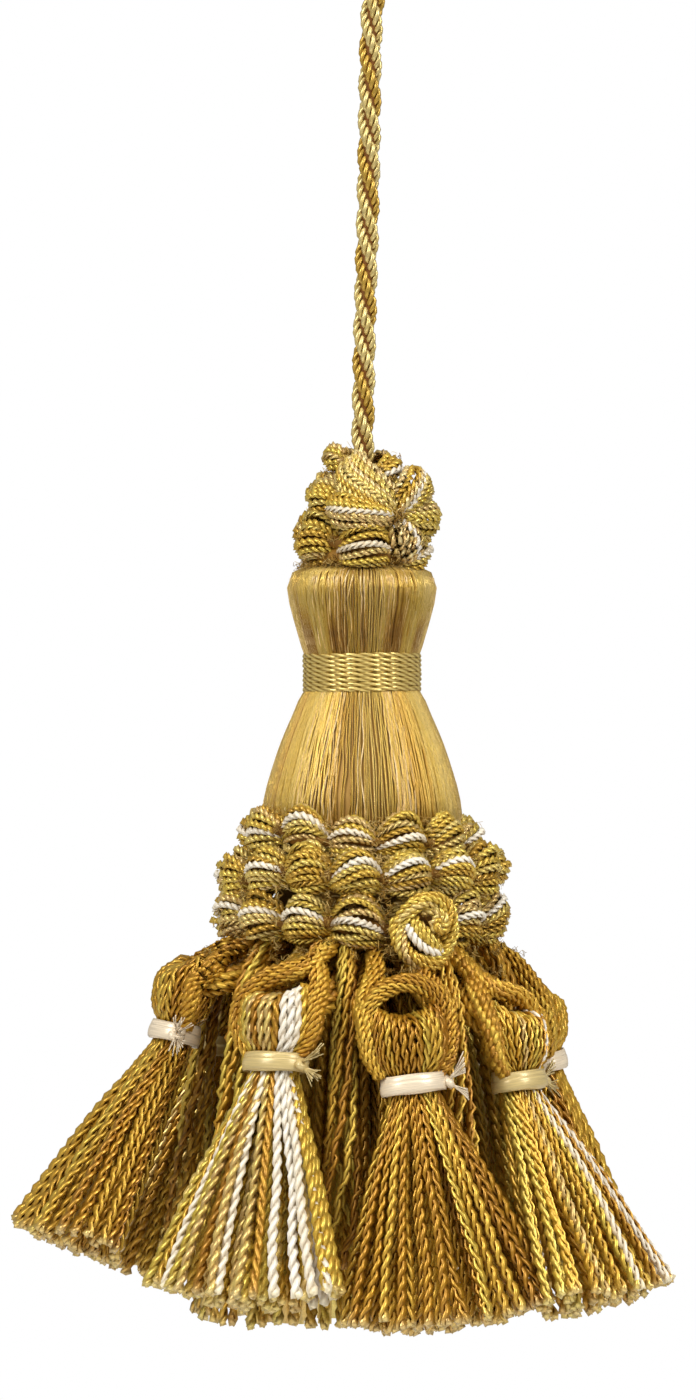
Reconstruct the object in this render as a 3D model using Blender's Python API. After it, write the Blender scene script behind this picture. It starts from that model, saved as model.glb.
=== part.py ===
"""Tassel of silk and rayon yarn on a hanging cord.

A twisted cord hangs from its own whipped loop. It comes out of a ruff of puffed
yarn on a turned crown, whose floss is bound in at the neck. Three rounds of
puffed gimp make the collar. Eight small tassels hang below it, each folded over
its own loop of yarn and tied, in front of an inner skirt of straight yarns.

The origin is the inner top of the hanging loop. +Z is up and -Y is the front.
Angles go round from the front, towards +X.
"""

import math

import bmesh
import bpy
from mathutils import Vector

MM = 0.001
GAP = 0.3 * MM  # clearance between neighbouring pieces

# Hanging cord: three strands laid together.
CORD_RADIUS = 1.75 * MM
CORD_GROOVE = 1.25 * MM  # radius at the bottom of the grooves
CORD_STRANDS = 3
CORD_PITCH = 15.0 * MM  # length of one whole turn of a strand
CORD_STEP = 1.75 * MM
# Route of the cord's middle line, from the crown up and round the loop.
CORD_ROUTE = (  # (x, z) in millimetres
    (0.0, -102.4),
    (0.1, -98.0),
    (0.3, -85.0),
    (0.6, -73.0),
    (0.9, -61.0),
    (1.1, -49.0),
    (1.3, -38.0),
    (1.7, -32.5),
    (1.95, -28.0),
    (2.0, -24.6),
    (2.9, -20.4),
    (5.9, -14.8),
    (7.8, -10.4),
    (8.1, -5.8),
    (5.4, -0.6),
    (0.0, 1.75),
    (-5.4, -0.6),
    (-8.1, -5.8),
    (-7.8, -10.4),
    (-5.9, -14.8),
    (-2.9, -20.4),
    (-2.0, -24.6),
    (-1.95, -28.0),
    (-1.9, -29.8),
)

# Whipping that closes the loop.
WHIPPING_TOP = -23.4 * MM
WHIPPING_BOTTOM = -29.4 * MM
WHIPPING_WRAPS = 5
WHIPPING_WALL = 0.8 * MM
WHIPPING_CREST = 0.3 * MM
WHIPPING_REACH = 1.95 * MM  # from the middle to each cord inside
WHIPPING_SIDES = 12

# Crown: radius and height of its turned profile, from the top down.
CROWN_PROFILE = (  # (radius, z) in millimetres
    (2.2, -102.9),
    (2.2, -106.6),
    (3.2, -107.0),
    (3.2, -112.2),
    (7.8, -114.8),
    (9.7, -115.4),
    (10.3, -116.8),
    (10.1, -119.4),
    (9.2, -122.8),
    (8.35, -125.9),
    (7.35, -126.5),
    (7.35, -132.4),
    (8.45, -132.9),
    (10.0, -136.2),
    (12.0, -141.0),
    (14.0, -149.4),
    (13.9, -150.9),
    (12.6, -151.6),
    (12.6, -155.6),
    (14.4, -157.4),
    (14.4, -163.0),
)
CROWN_RIBS = 11
CROWN_RIB_DEPTH = 0.12 * MM

# Neck band: turns of thread bound round the crown's neck.
BAND_TOP = -126.7 * MM
BAND_BOTTOM = -132.3 * MM
BAND_TURNS = 8
BAND_SIDES = 20
BAND_INNER = 7.45 * MM + CROWN_RIB_DEPTH + GAP
BAND_VALLEY = 8.2 * MM
BAND_CREST = 8.55 * MM

# Rows of puffed gimp. A puff is (angle in degrees, reach, height), the last two
# as shares of its row's own width and height.
RUFF_TILT = math.radians(7)  # the ruff dips towards +X
PUFF_ROWS = {  # name: (z, inner radius, half width, half height) in mm, puffs
    "ruff_row_1": (
        (-110.0, 4.1, 3.3, 3.1),
        (
            (-62, 1.0, 0.95),
            (-5, 1.0, 1.0),
            (47, 0.9, 0.95),
            (98, 1.0, 0.9),
            (149, 0.95, 1.0),
            (200, 1.0, 0.95),
            (250, 0.95, 0.9),
        ),
    ),
    "ruff_row_2": (
        (-104.5, 3.0, 3.0, 2.05),
        (
            (-60, 1.0, 0.95),
            (0, 1.0, 1.0),
            (66, 1.4, 1.05),
            (128, 0.95, 0.95),
            (184, 1.0, 1.0),
            (240, 1.0, 0.9),
        ),
    ),
    "ruff_row_3": (
        (-100.6, 2.4, 1.9, 1.5),
        (
            (-72, 1.0, 0.95),
            (-6, 1.05, 1.0),
            (66, 1.5, 1.0),
            (140, 1.0, 0.95),
            (214, 1.0, 1.0),
        ),
    ),
    "collar_row_1": (
        (-153.5, 13.0, 2.5, 2.6),
        (
            (-65, 1.0, 1.0),
            (-31, 1.0, 0.95),
            (-6, 0.95, 1.0),
            (20, 1.0, 0.95),
            (51, 1.0, 1.0),
            (82, 0.95, 0.95),
            (112, 1.0, 1.0),
            (142, 1.0, 0.95),
            (172, 0.95, 1.0),
            (202, 1.0, 0.95),
            (232, 1.0, 1.0),
            (263, 0.95, 0.95),
        ),
    ),
    "collar_row_2": (
        (-159.1, 15.1, 3.1, 2.6),
        (
            (-75, 1.0, 1.0),
            (-47, 0.95, 0.95),
            (-25, 1.0, 1.0),
            (-4, 1.0, 0.95),
            (21, 0.95, 1.0),
            (46, 1.0, 0.95),
            (69, 1.0, 1.0),
            (93, 0.95, 0.95),
            (117, 1.0, 1.0),
            (141, 1.0, 0.95),
            (165, 0.95, 1.0),
            (189, 1.0, 0.95),
            (213, 1.0, 1.0),
            (237, 0.95, 0.95),
            (261, 1.0, 1.0),
        ),
    ),
    "collar_row_3": (
        (-165.1, 14.9, 3.4, 3.2),
        (
            (-50, 1.0, 1.0),
            (-26, 1.0, 0.95),
            (-3, 1.0, 1.0),
            (25, 0.35, 0.4),
            (52, 1.0, 0.95),
            (74, 0.95, 1.0),
            (96, 1.0, 0.95),
            (120, 1.0, 1.0),
            (144, 0.95, 0.95),
            (168, 1.0, 1.0),
            (192, 1.0, 0.95),
            (216, 0.95, 1.0),
            (240, 1.0, 0.95),
            (264, 1.0, 1.0),
            (287, 0.95, 0.95),
        ),
    ),
}
PUFF_STEPS = 3  # sections in one puff
PUFF_SIDES = 8
PUFF_PINCH = 0.6  # size between two puffs, as a share of a puff
PUFF_ROUNDNESS = 0.5  # the smaller, the fuller the puff

# Coiled end of the gimp, tucked into the lowest row.
KNOT_ANGLE = math.radians(25)
KNOT_RADIUS = 4.4 * MM
KNOT_BACK = 19.75 * MM  # distance from the axis to its flat back
KNOT_Z = -166.0 * MM
KNOT_LOBES = 6
KNOT_DENT = 0.9  # radius between two lobes, as a share of the lobes' own
KNOT_BACK_SHARE = 0.8
KNOT_PROFILE = (  # share of the radius, height above the back in mm
    (1.0, 1.4),
    (0.92, 2.7),
    (0.66, 3.5),
    (0.42, 2.9),
    (0.22, 3.8),
)

# Small tassels, and the loops that they hang on.
TASSELS = (
    # number, angle, tie's radius and height, head's tilt out and lean to the side,
    # skirt's outward kick, hem's half width; in mm and degrees
    ("1", -74, 27.8, -181.2, 14, 0, 8.5, 13.2),
    ("2", -27, 27.0, -184.5, 8, 0, 5.0, 12.6),
    ("3", 14, 27.0, -187.4, 6, 5, 4.0, 12.6),
    ("4", 56, 26.8, -187.6, 8, 0, 10.5, 11.8),
    ("5", 100, 26.4, -185.8, 8, 0, 4.5, 12.6),
    ("6", 147, 27.0, -184.0, 8, 0, 6.5, 13.0),
    ("7", 192, 27.0, -186.4, 7, 0, 5.0, 12.8),
    ("8", 237, 27.0, -183.8, 8, 0, 4.5, 12.4),
)
TIE_DROP = 6.65 * MM  # from the middle of the loop's yarn to the tie
HEAD_SECTIONS = (  # (half width, half depth, height from the loop's yarn) in mm
    (3.0, 2.0, 4.9),
    (5.1, 3.9, 3.4),
    (5.9, 4.5, -0.4),
    (5.2, 4.0, -3.3),
    (3.8, 2.8, -5.0),
    (3.8, 2.8, -8.3),
    (4.6, 3.4, -9.0),
    (4.6, 3.4, -9.6),
)
SKIRT_SIDES = 10  # strands in the outer round of a skirt, half as many inside
SKIRT_LENGTH = 31.4 * MM  # from the root, a little below the tie
SKIRT_HALF_DEPTH = 6.4 * MM
ROOT_MIDDLE = 0.75  # place of the outer strands, as a share of the root's half width
SKIRT_STEPS = (0.4, 1.0)
SKIRT_CURVE = 0.85  # under 1, the strands splay first and then hang
STRAND_SLIMMING = 0.9  # size of a strand where it has left its neighbours

TIE_SIDES = 10
TIE_HEIGHT = 2.9 * MM
TIE_WALL = 0.6 * MM
TIE_TAIL = 1.7 * MM

LOOP_SIDES = 6
LOOP_STEP = 3.2 * MM
LOOP_RADIUS_TOP = 1.7 * MM
LOOP_RADIUS = 2.0 * MM
LOOP_HALF_WIDTH = 5.5 * MM
LOOP_TOP_HALF_ANGLE = math.radians(11.2)
LOOP_ARM = (  # (radius, z) in millimetres, from the crown to under the collar
    (11.4, -163.7),
    (12.6, -168.6),
    (16.6, -172.3),
)

# Inner skirt: rounds of straight yarn drawn down from a thin disc.
INNER_STRANDS = 30  # in each round but the middle one, which has half as many
INNER_DISC_RADII = (8.7, 7.0, 5.2, 3.3)  # in mm, of the circles between its rounds
INNER_DISC_TOP = -163.5 * MM
INNER_DISC_BOTTOM = -164.5 * MM
INNER_ROUNDS = (  # widening in each length after the first, then (radius, z) in mm
    (1.25, (8.8, -170.0), (18.0, -181.0), (25.4, -219.8)),
    (1.25, (6.6, -170.0), (12.6, -181.0), (19.0, -220.4)),
    (1.45, (4.5, -170.0), (8.0, -181.0), (12.8, -220.8)),
    (1.25, (2.6, -170.0), (4.0, -181.0), (6.2, -221.0)),
)

GOLD = (0.42, 0.24, 0.045)
STRAW = (0.60, 0.45, 0.17)
OLIVE = (0.45, 0.31, 0.07)
CREAM = (0.72, 0.60, 0.42)
BROWN_GOLD = (0.33, 0.18, 0.035)
TIE_COLOURS = (CREAM, STRAW)
SILK_ROUGHNESS = 0.45
YARN_ROUGHNESS = 0.7


def clear_scene():
    for item in list(bpy.data.objects):
        bpy.data.objects.remove(item, do_unlink=True)


def finish(name, colour, roughness):
    material = bpy.data.materials.new(name + " finish")
    material.use_nodes = True
    shader = material.node_tree.nodes["Principled BSDF"]
    shader.inputs["Base Color"].default_value = (*colour, 1.0)
    shader.inputs["Roughness"].default_value = roughness
    shader.inputs["Metallic"].default_value = 0.0
    return material


def add_piece(name, bm, colour, roughness=YARN_ROUGHNESS):
    bmesh.ops.recalc_face_normals(bm, faces=bm.faces)
    mesh = bpy.data.meshes.new(name)
    bm.to_mesh(mesh)
    bm.free()
    mesh.shade_smooth()
    piece = bpy.data.objects.new(name, mesh)
    piece.data.materials.append(finish(name, colour, roughness))
    bpy.context.collection.objects.link(piece)
    return piece


def add_cutter(name, bm):
    cutter = add_piece(name, bm, GOLD)
    cutter.hide_render = True
    cutter.display_type = "WIRE"
    return cutter


def loft(bm, sections, closed=False):
    """Joins sections of equally many points. Open lofts get an end cap each."""
    rings = [[bm.verts.new(point) for point in section] for section in sections]
    pairs = list(zip(rings, rings[1:]))
    if closed:
        pairs.append((rings[-1], rings[0]))
    for upper, lower in pairs:
        for i in range(len(upper)):
            j = (i + 1) % len(upper)
            bm.faces.new((upper[i], upper[j], lower[j], lower[i]))
    if not closed:
        bm.faces.new(rings[0])
        bm.faces.new(rings[-1])
    return rings


def around(angle, radius, z):
    """A point at an angle from the front, which is -Y, towards +X."""
    return Vector((radius * math.sin(angle), -radius * math.cos(angle), z))


def smooth_route(points, step):
    """Points at even steps along a smooth curve through a route's own points."""
    ends = [2 * points[0] - points[1], *points, 2 * points[-1] - points[-2]]
    fine = []
    pieces = 12
    for a, b, c, d in zip(ends, ends[1:], ends[2:], ends[3:]):
        for k in range(pieces):
            t = k / pieces
            fine.append(
                0.5
                * (
                    2 * b
                    + (c - a) * t
                    + (2 * a - 5 * b + 4 * c - d) * t**2
                    + (3 * b - a - 3 * c + d) * t**3
                )
            )
    fine.append(points[-1])
    lengths = [0.0]
    for a, b in zip(fine, fine[1:]):
        lengths.append(lengths[-1] + (b - a).length)
    count = max(2, round(lengths[-1] / step))
    even = []
    k = 0
    for i in range(count + 1):
        wanted = lengths[-1] * i / count
        while k < len(fine) - 2 and lengths[k + 1] < wanted:
            k += 1
        share = (wanted - lengths[k]) / (lengths[k + 1] - lengths[k])
        even.append(fine[k].lerp(fine[k + 1], min(1.0, share)))
    return even


def directions(points):
    found = []
    for i in range(len(points)):
        before = points[max(0, i - 1)]
        after = points[min(len(points) - 1, i + 1)]
        found.append((after - before).normalized())
    return found


def hanging_cord():
    """The rope's section has a lobe for each strand and turns as it goes up."""
    route = smooth_route([Vector((x, 0, z)) * MM for x, z in CORD_ROUTE], CORD_STEP)
    step = (route[1] - route[0]).length
    points = 2 * CORD_STRANDS
    sections = []
    for i, (middle, along) in enumerate(zip(route, directions(route))):
        across = Vector((along.z, 0, -along.x))
        turn = -2 * math.pi * i * step / CORD_PITCH
        section = []
        for k in range(points):
            angle = turn + 2 * math.pi * k / points
            radius = CORD_GROOVE if k % 2 else CORD_RADIUS
            offset = across * math.cos(angle) + Vector((0, 1, 0)) * math.sin(angle)
            section.append(middle + radius * offset)
        sections.append(section)
    bm = bmesh.new()
    loft(bm, sections)
    return add_piece("hanging_cord", bm, STRAW)


def ridged_heights(top, bottom, turns):
    """Heights down a wound band, with True on the crest of each turn."""
    heights = [(top, False)]
    turn = (top - bottom) / turns
    for i in range(turns):
        heights.append((top - (i + 0.5) * turn, True))
        heights.append((top - (i + 1) * turn, False))
    return heights


def loop_whipping():
    """Thread wound round both sides of the loop, as an oval ridged band."""
    bm = bmesh.new()
    inner = CORD_RADIUS + 1.5 * GAP
    valley = inner + WHIPPING_WALL
    sections = []
    for k in range(WHIPPING_SIDES):
        angle = 2 * math.pi * (k + 0.5) / WHIPPING_SIDES
        side = math.cos(angle)
        out = Vector((side, math.sin(angle), 0))
        shift = Vector((math.copysign(WHIPPING_REACH, side), 0, 0))
        section = [
            shift + out * (valley + (WHIPPING_CREST if crest else 0)) + Vector((0, 0, z))
            for z, crest in ridged_heights(WHIPPING_TOP, WHIPPING_BOTTOM, WHIPPING_WRAPS)
        ]
        section.append(shift + out * inner + Vector((0, 0, WHIPPING_BOTTOM)))
        section.append(shift + out * inner + Vector((0, 0, WHIPPING_TOP)))
        sections.append(section)
    loft(bm, sections, closed=True)
    return add_piece("loop_whipping", bm, OLIVE, SILK_ROUGHNESS)


def crown():
    """The floss skein over its mould, with fine ribs down it."""
    count = 2 * CROWN_RIBS
    sections = []
    for radius, z in CROWN_PROFILE:
        section = []
        for k in range(count):
            rib = CROWN_RIB_DEPTH * (1 if k % 2 else -1)
            section.append(around(2 * math.pi * k / count, radius * MM + rib, z * MM))
        sections.append(section)
    bm = bmesh.new()
    loft(bm, sections)
    return add_piece("crown", bm, STRAW, SILK_ROUGHNESS)


def neck_band():
    sections = []
    for k in range(BAND_SIDES):
        angle = 2 * math.pi * k / BAND_SIDES
        section = [
            around(angle, BAND_CREST if crest else BAND_VALLEY, z)
            for z, crest in ridged_heights(BAND_TOP, BAND_BOTTOM, BAND_TURNS)
        ]
        section.append(around(angle, BAND_INNER, BAND_BOTTOM))
        section.append(around(angle, BAND_INNER, BAND_TOP))
        sections.append(section)
    bm = bmesh.new()
    loft(bm, sections, closed=True)
    return add_piece("neck_band", bm, STRAW, SILK_ROUGHNESS)


def puff_row(name, size, puffs, tilt=0.0):
    """A round of gimp: bundles of yarn that swell between their bindings."""
    z, inner, half_width, half_height = (value * MM for value in size)
    sections = []
    for i, (angle, reach, height) in enumerate(puffs):
        before = puffs[i - 1][0] - (360 if i == 0 else 0)
        after = puffs[(i + 1) % len(puffs)][0] + (360 if i == len(puffs) - 1 else 0)
        start = (before + angle) / 2
        end = (angle + after) / 2
        for k in range(PUFF_STEPS):
            share = k / PUFF_STEPS
            swell = PUFF_PINCH + (1 - PUFF_PINCH) * math.sin(math.pi * share) ** PUFF_ROUNDNESS
            turn = math.radians(start + (end - start) * share)
            wide = half_width * (swell * reach if k else PUFF_PINCH)
            tall = half_height * (swell * height if k else PUFF_PINCH)
            section = []
            for m in range(PUFF_SIDES):
                phase = 2 * math.pi * m / PUFF_SIDES
                radius = inner + wide * (1 + math.cos(phase))
                section.append(around(turn, radius, tall * math.sin(phase)))
            sections.append(section)
    bm = bmesh.new()
    loft(bm, sections, closed=True)
    piece = add_piece(name, bm, GOLD if name.startswith("collar") else OLIVE)
    piece.location = (0, 0, z)
    piece.rotation_euler = (0, tilt, 0)
    return piece


def collar_knot():
    """The coiled end: a ring of lobes round a raised middle."""
    sides = 2 * KNOT_LOBES
    sections = []
    for share, height in ((KNOT_BACK_SHARE, 0.0), *KNOT_PROFILE):
        section = []
        for k in range(sides):
            angle = 2 * math.pi * k / sides
            lobe = 1.0 if k % 2 or share < 0.5 else KNOT_DENT
            reach = KNOT_RADIUS * share * lobe
            section.append(
                Vector((reach * math.cos(angle), -height * MM, reach * math.sin(angle)))
            )
        sections.append(section)
    bm = bmesh.new()
    loft(bm, sections)
    piece = add_piece("collar_knot", bm, OLIVE)
    piece.location = around(KNOT_ANGLE, KNOT_BACK, KNOT_Z)
    piece.rotation_euler = (0, 0, KNOT_ANGLE)
    return piece


def loop_route(angle, radius, z):
    """Middle line of a hanger loop: down one arm, round its foot and up the other."""
    arm = []
    for arm_radius, arm_z in LOOP_ARM:
        spread = arm_radius * MM * math.sin(LOOP_TOP_HALF_ANGLE)
        arm.append(Vector((spread, arm_radius * MM * math.cos(LOOP_TOP_HALF_ANGLE), arm_z * MM)))
    foot = Vector((0, radius, z))
    down = foot - Vector((0, arm[-1].y, arm[-1].z))
    down.normalize()
    for turn in (0, math.pi / 4):  # the foot is half a circle
        side = Vector((LOOP_HALF_WIDTH * math.cos(turn), 0, 0))
        arm.append(foot + side - down * LOOP_HALF_WIDTH * (1 - math.sin(turn)))
    rows = [*arm, foot, *(Vector((-p.x, p.y, p.z)) for p in reversed(arm))]
    sideways = Vector((math.cos(angle), math.sin(angle), 0))
    return [around(angle, p.y, p.z) + sideways * p.x for p in rows]


def loop_tube(angle, radius, z, extra):
    """The loop's bundle of yarn, slimmer where it leaves the crown."""
    route = smooth_route(loop_route(angle, radius, z), LOOP_STEP)
    up = around(angle, 1.0, 0.0)
    sections = []
    for i, (middle, along) in enumerate(zip(route, directions(route))):
        up = (up - along * up.dot(along)).normalized()
        across = along.cross(up)
        share = math.sin(math.pi * i / (len(route) - 1))
        size = LOOP_RADIUS_TOP + (LOOP_RADIUS - LOOP_RADIUS_TOP) * share + extra
        section = []
        for k in range(LOOP_SIDES):
            phase = 2 * math.pi * (k + 0.5) / LOOP_SIDES
            section.append(middle + size * (math.cos(phase) * up + math.sin(phase) * across))
        sections.append(section)
    bm = bmesh.new()
    loft(bm, sections)
    bmesh.ops.triangulate(bm, faces=bm.faces, quad_method="FIXED")
    return bm


def oval(half_width, half_depth, z, sides):
    turns = (2 * math.pi * (k + 0.5) / sides for k in range(sides))
    return [Vector((half_width * math.cos(a), half_depth * math.sin(a), z)) for a in turns]


def extend(bm, face, target, growth):
    """Extrudes one face so that its middle reaches the target point."""
    face = bmesh.ops.extrude_discrete_faces(bm, faces=[face])["faces"][0]
    centre = face.calc_center_median()
    for vert in face.verts:
        vert.co = target + (vert.co - centre) * growth
    return face


def grow_strand(bm, root, kick, hem_half_width):
    """Draws a root face out into one strand of the flaring skirt."""
    start = root.calc_center_median()
    half_width, half_depth, _ = HEAD_SECTIONS[-1]
    end_x = start.x * hem_half_width / (half_width * MM * ROOT_MIDDLE)
    end_y = start.y * SKIRT_HALF_DEPTH / (half_depth * MM * ROOT_MIDDLE) - kick
    away = math.hypot(end_x - start.x, end_y - start.y)
    drop = math.sqrt(SKIRT_LENGTH**2 - away**2)
    face = root
    for share in SKIRT_STEPS:
        flare = share**SKIRT_CURVE
        target = Vector(
            (
                start.x + (end_x - start.x) * flare,
                start.y + (end_y - start.y) * flare,
                start.z - drop * share,
            )
        )
        slimming = STRAND_SLIMMING if face is root else 1.0
        face = extend(bm, face, target, slimming)


def tassel_form(kick, hem_half_width):
    """Head, waist and skirt of a small tassel, round the loop's yarn at 0, 0, 0."""
    bm = bmesh.new()
    sections = [oval(x * MM, y * MM, z * MM, SKIRT_SIDES) for x, y, z in HEAD_SECTIONS]
    rings = loft(bm, sections)
    bm.faces.ensure_lookup_table()
    bmesh.ops.delete(bm, geom=[bm.faces[-1]], context="FACES_ONLY")
    outer = rings[-1]
    inner = [bm.verts.new((v.co.x * 0.5, v.co.y * 0.5, v.co.z)) for v in outer]
    centre = bm.verts.new((0, 0, outer[0].co.z))
    roots = []
    for i in range(SKIRT_SIDES):
        j = (i + 1) % SKIRT_SIDES
        roots.append(bm.faces.new((outer[i], outer[j], inner[j], inner[i])))
    for i in range(0, SKIRT_SIDES, 2):
        last = (i + 2) % SKIRT_SIDES
        roots.append(bm.faces.new((centre, inner[i], inner[i + 1], inner[last])))
    for root in roots:
        grow_strand(bm, root, kick, hem_half_width)
    bmesh.ops.triangulate(bm, faces=bm.faces)
    return bm


def tie_form():
    """A ribbon of floss round the waist, with two short tails at one side."""
    half_width, half_depth, _ = HEAD_SECTIONS[-3]
    inner = (half_width * MM + GAP, half_depth * MM + GAP)
    outer = (inner[0] + TIE_WALL, inner[1] + TIE_WALL)
    half = TIE_HEIGHT / 2
    rounds = [
        oval(*outer, half, TIE_SIDES),
        oval(*outer, 0, TIE_SIDES),
        oval(*outer, -half, TIE_SIDES),
        oval(*inner, -half, TIE_SIDES),
        oval(*inner, half, TIE_SIDES),
    ]
    bm = bmesh.new()
    loft(bm, rounds, closed=True)
    bmesh.ops.recalc_face_normals(bm, faces=bm.faces)
    knot_side = [
        face
        for face in bm.faces
        if face.normal.x > 0.95 and face.calc_center_median().x > 0
    ]
    for face in knot_side:
        lift = math.copysign(0.5 * TIE_TAIL, face.calc_center_median().z)
        tail = bmesh.ops.extrude_discrete_faces(bm, faces=[face])["faces"][0]
        bmesh.ops.translate(bm, verts=tail.verts, vec=(TIE_TAIL, 0, lift))
    return bm


def small_tassels():
    for i, row in enumerate(TASSELS):
        number, angle, tie_radius, tie_z, tilt, lean, kick, hem_half_width = row
        angle = math.radians(angle)
        tilt = math.radians(tilt)
        turn = (-tilt, -math.radians(lean), angle)
        loop_radius = tie_radius * MM - TIE_DROP * math.sin(tilt)
        loop_z = tie_z * MM + TIE_DROP * math.cos(tilt)

        add_piece("hanger_loop_" + number, loop_tube(angle, loop_radius, loop_z, 0), BROWN_GOLD)

        tassel = add_piece(
            "small_tassel_" + number, tassel_form(kick * MM, hem_half_width * MM), GOLD
        )
        tassel.location = around(angle, loop_radius, loop_z)
        tassel.rotation_euler = turn
        channel = add_cutter("channel_" + number, loop_tube(angle, loop_radius, loop_z, GAP))
        cut = tassel.modifiers.new("Channel for the loop", "BOOLEAN")
        cut.operation = "DIFFERENCE"
        cut.object = channel

        tie = add_piece("tie_" + number, tie_form(), TIE_COLOURS[i % 2], SILK_ROUGHNESS)
        tie.rotation_euler = turn
        bpy.context.view_layer.update()
        tie.location = tassel.matrix_world @ Vector((0, 0, -TIE_DROP))


def inner_skirt():
    """Straight yarns in four rounds, drawn down from a thin disc."""
    bm = bmesh.new()
    circles = []
    for radius in INNER_DISC_RADII:
        turns = (2 * math.pi * k / INNER_STRANDS for k in range(INNER_STRANDS))
        circles.append([bm.verts.new(around(a, radius * MM, INNER_DISC_BOTTOM)) for a in turns])
    rim = [bm.verts.new((v.co.x, v.co.y, INNER_DISC_TOP)) for v in circles[0]]
    bm.faces.new(rim)
    centre = bm.verts.new((0, 0, INNER_DISC_BOTTOM))
    roots = []
    for i in range(INNER_STRANDS):
        j = (i + 1) % INNER_STRANDS
        bm.faces.new((rim[i], rim[j], circles[0][j], circles[0][i]))
        for route, outer, inner in zip(INNER_ROUNDS, circles, circles[1:]):
            roots.append((route, bm.faces.new((outer[i], outer[j], inner[j], inner[i]))))
    last = circles[-1]
    for i in range(0, INNER_STRANDS, 2):
        face = bm.faces.new((centre, last[i], last[i + 1], last[(i + 2) % INNER_STRANDS]))
        roots.append((INNER_ROUNDS[-1], face))
    bmesh.ops.recalc_face_normals(bm, faces=bm.faces)
    for (widening, *points), root in roots:
        outward = root.calc_center_median() * Vector((1, 1, 0))
        outward.normalize()
        face = root
        for radius, z in points:
            target = outward * radius * MM + Vector((0, 0, z * MM))
            face = extend(bm, face, target, STRAND_SLIMMING if face is root else widening)
    return add_piece("inner_skirt", bm, BROWN_GOLD)


def build():
    clear_scene()
    hanging_cord()
    loop_whipping()
    crown()
    neck_band()
    for name, (size, puffs) in PUFF_ROWS.items():
        puff_row(name, size, puffs, RUFF_TILT if name.startswith("ruff") else 0.0)
    collar_knot()
    small_tassels()
    inner_skirt()


build()
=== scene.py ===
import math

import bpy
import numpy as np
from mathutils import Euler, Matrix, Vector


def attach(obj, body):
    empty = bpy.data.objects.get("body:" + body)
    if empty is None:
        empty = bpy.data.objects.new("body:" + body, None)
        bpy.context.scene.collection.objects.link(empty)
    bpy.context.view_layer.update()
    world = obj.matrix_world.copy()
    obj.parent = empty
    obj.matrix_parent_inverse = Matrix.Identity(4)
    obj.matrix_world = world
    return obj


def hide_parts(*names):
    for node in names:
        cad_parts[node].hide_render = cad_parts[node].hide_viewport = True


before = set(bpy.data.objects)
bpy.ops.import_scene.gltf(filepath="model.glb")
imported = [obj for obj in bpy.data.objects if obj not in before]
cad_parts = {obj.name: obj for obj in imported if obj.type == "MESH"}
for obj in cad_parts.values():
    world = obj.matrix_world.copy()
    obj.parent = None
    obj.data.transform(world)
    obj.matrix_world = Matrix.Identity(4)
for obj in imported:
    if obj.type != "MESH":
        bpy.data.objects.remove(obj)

# %% [markdown]
# # A tassel of silk and rayon yarn, dressed over its solids
#
# The solids have the tassel's shape, but they are plain. Here each of them gives way to
# the yarn that it is really made of. Yarns are thin tubes that one class makes, many at
# once, because the tassel has well over a thousand. Lengths are in millimetres until a
# mesh is made.

MM = 0.001
UP = np.array((0.0, 0.0, 1.0))
ACROSS = np.array((1.0, 0.0, 0.0))
BACK = np.array((0.0, 1.0, 0.0))
ASKEW = np.array((0.31, 0.52, 0.79))  # a guide for fibres that lie any way
LEVEL = np.array((1.0, 1.0, 0.0))  # takes the height out of a direction
chance = np.random.default_rng(7)
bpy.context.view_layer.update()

# %% [markdown]
# ## The camera
#
# The tassel is seen straight from the front and a little from its own left, with the
# cord running out of the top of the frame. A level camera with a long lens keeps the
# sides parallel. The lens follows from the height of tassel that the frame holds.

# %% Camera
FRAME_HEIGHT = 201.2 * MM  # height of tassel in the frame, at its axis
CAMERA_DISTANCE = 900 * MM
CAMERA_X = -2.0 * MM
CAMERA_Z = -133.6 * MM
SENSOR = 36.0

camera_data = bpy.data.cameras.new("camera")
camera_data.sensor_width = SENSOR
camera_data.lens = SENSOR * CAMERA_DISTANCE / FRAME_HEIGHT
camera_data.clip_start = 0.05
camera = bpy.data.objects.new("camera", camera_data)
camera.location = (CAMERA_X, -CAMERA_DISTANCE, CAMERA_Z)
camera.rotation_euler = (math.radians(90), 0, 0)
bpy.context.collection.objects.link(camera)
bpy.context.scene.camera = camera
print("lens, mm:", round(camera_data.lens, 1))

# %% [markdown]
# ## Routes
#
# A yarn first needs the line that its middle follows. It is drawn through a few points
# by a Catmull-Rom curve, which passes through each of them, and is then cut into even
# steps so that the twist is even too. The helper takes a whole stack of yarns with the
# same number of points and treats them all together.

# %% Smooth routes through a few points
CURVE_PIECES = 10  # fine steps between two given points
FEWEST_STEPS = 6


def smooth_routes(points, count):
    """Turns (yarns, points, 3) into (yarns, count, 3), evenly spaced and smooth."""
    points = np.asarray(points, float)
    if points.ndim == 2:
        points = points[None]
    first = 2 * points[:, :1] - points[:, 1:2]
    last = 2 * points[:, -1:] - points[:, -2:-1]
    ends = np.concatenate([first, points, last], axis=1)
    a, b, c, d = (ends[:, i : i + points.shape[1] - 1, None] for i in range(4))
    t = (np.arange(CURVE_PIECES) / CURVE_PIECES)[:, None]
    bend = (2 * a - 5 * b + 4 * c - d) * t**2 + (3 * b - a - 3 * c + d) * t**3
    fine = 0.5 * (2 * b + (c - a) * t + bend)
    fine = np.concatenate([fine.reshape(len(points), -1, 3), points[:, -1:]], axis=1)
    routes = np.empty((len(points), count, 3))
    for route, row in zip(routes, fine):
        walked = distances(row[None])[0]
        wanted = np.linspace(0, walked[-1], count)
        for axis in range(3):
            route[:, axis] = np.interp(wanted, walked, row[:, axis])
    return routes


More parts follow.
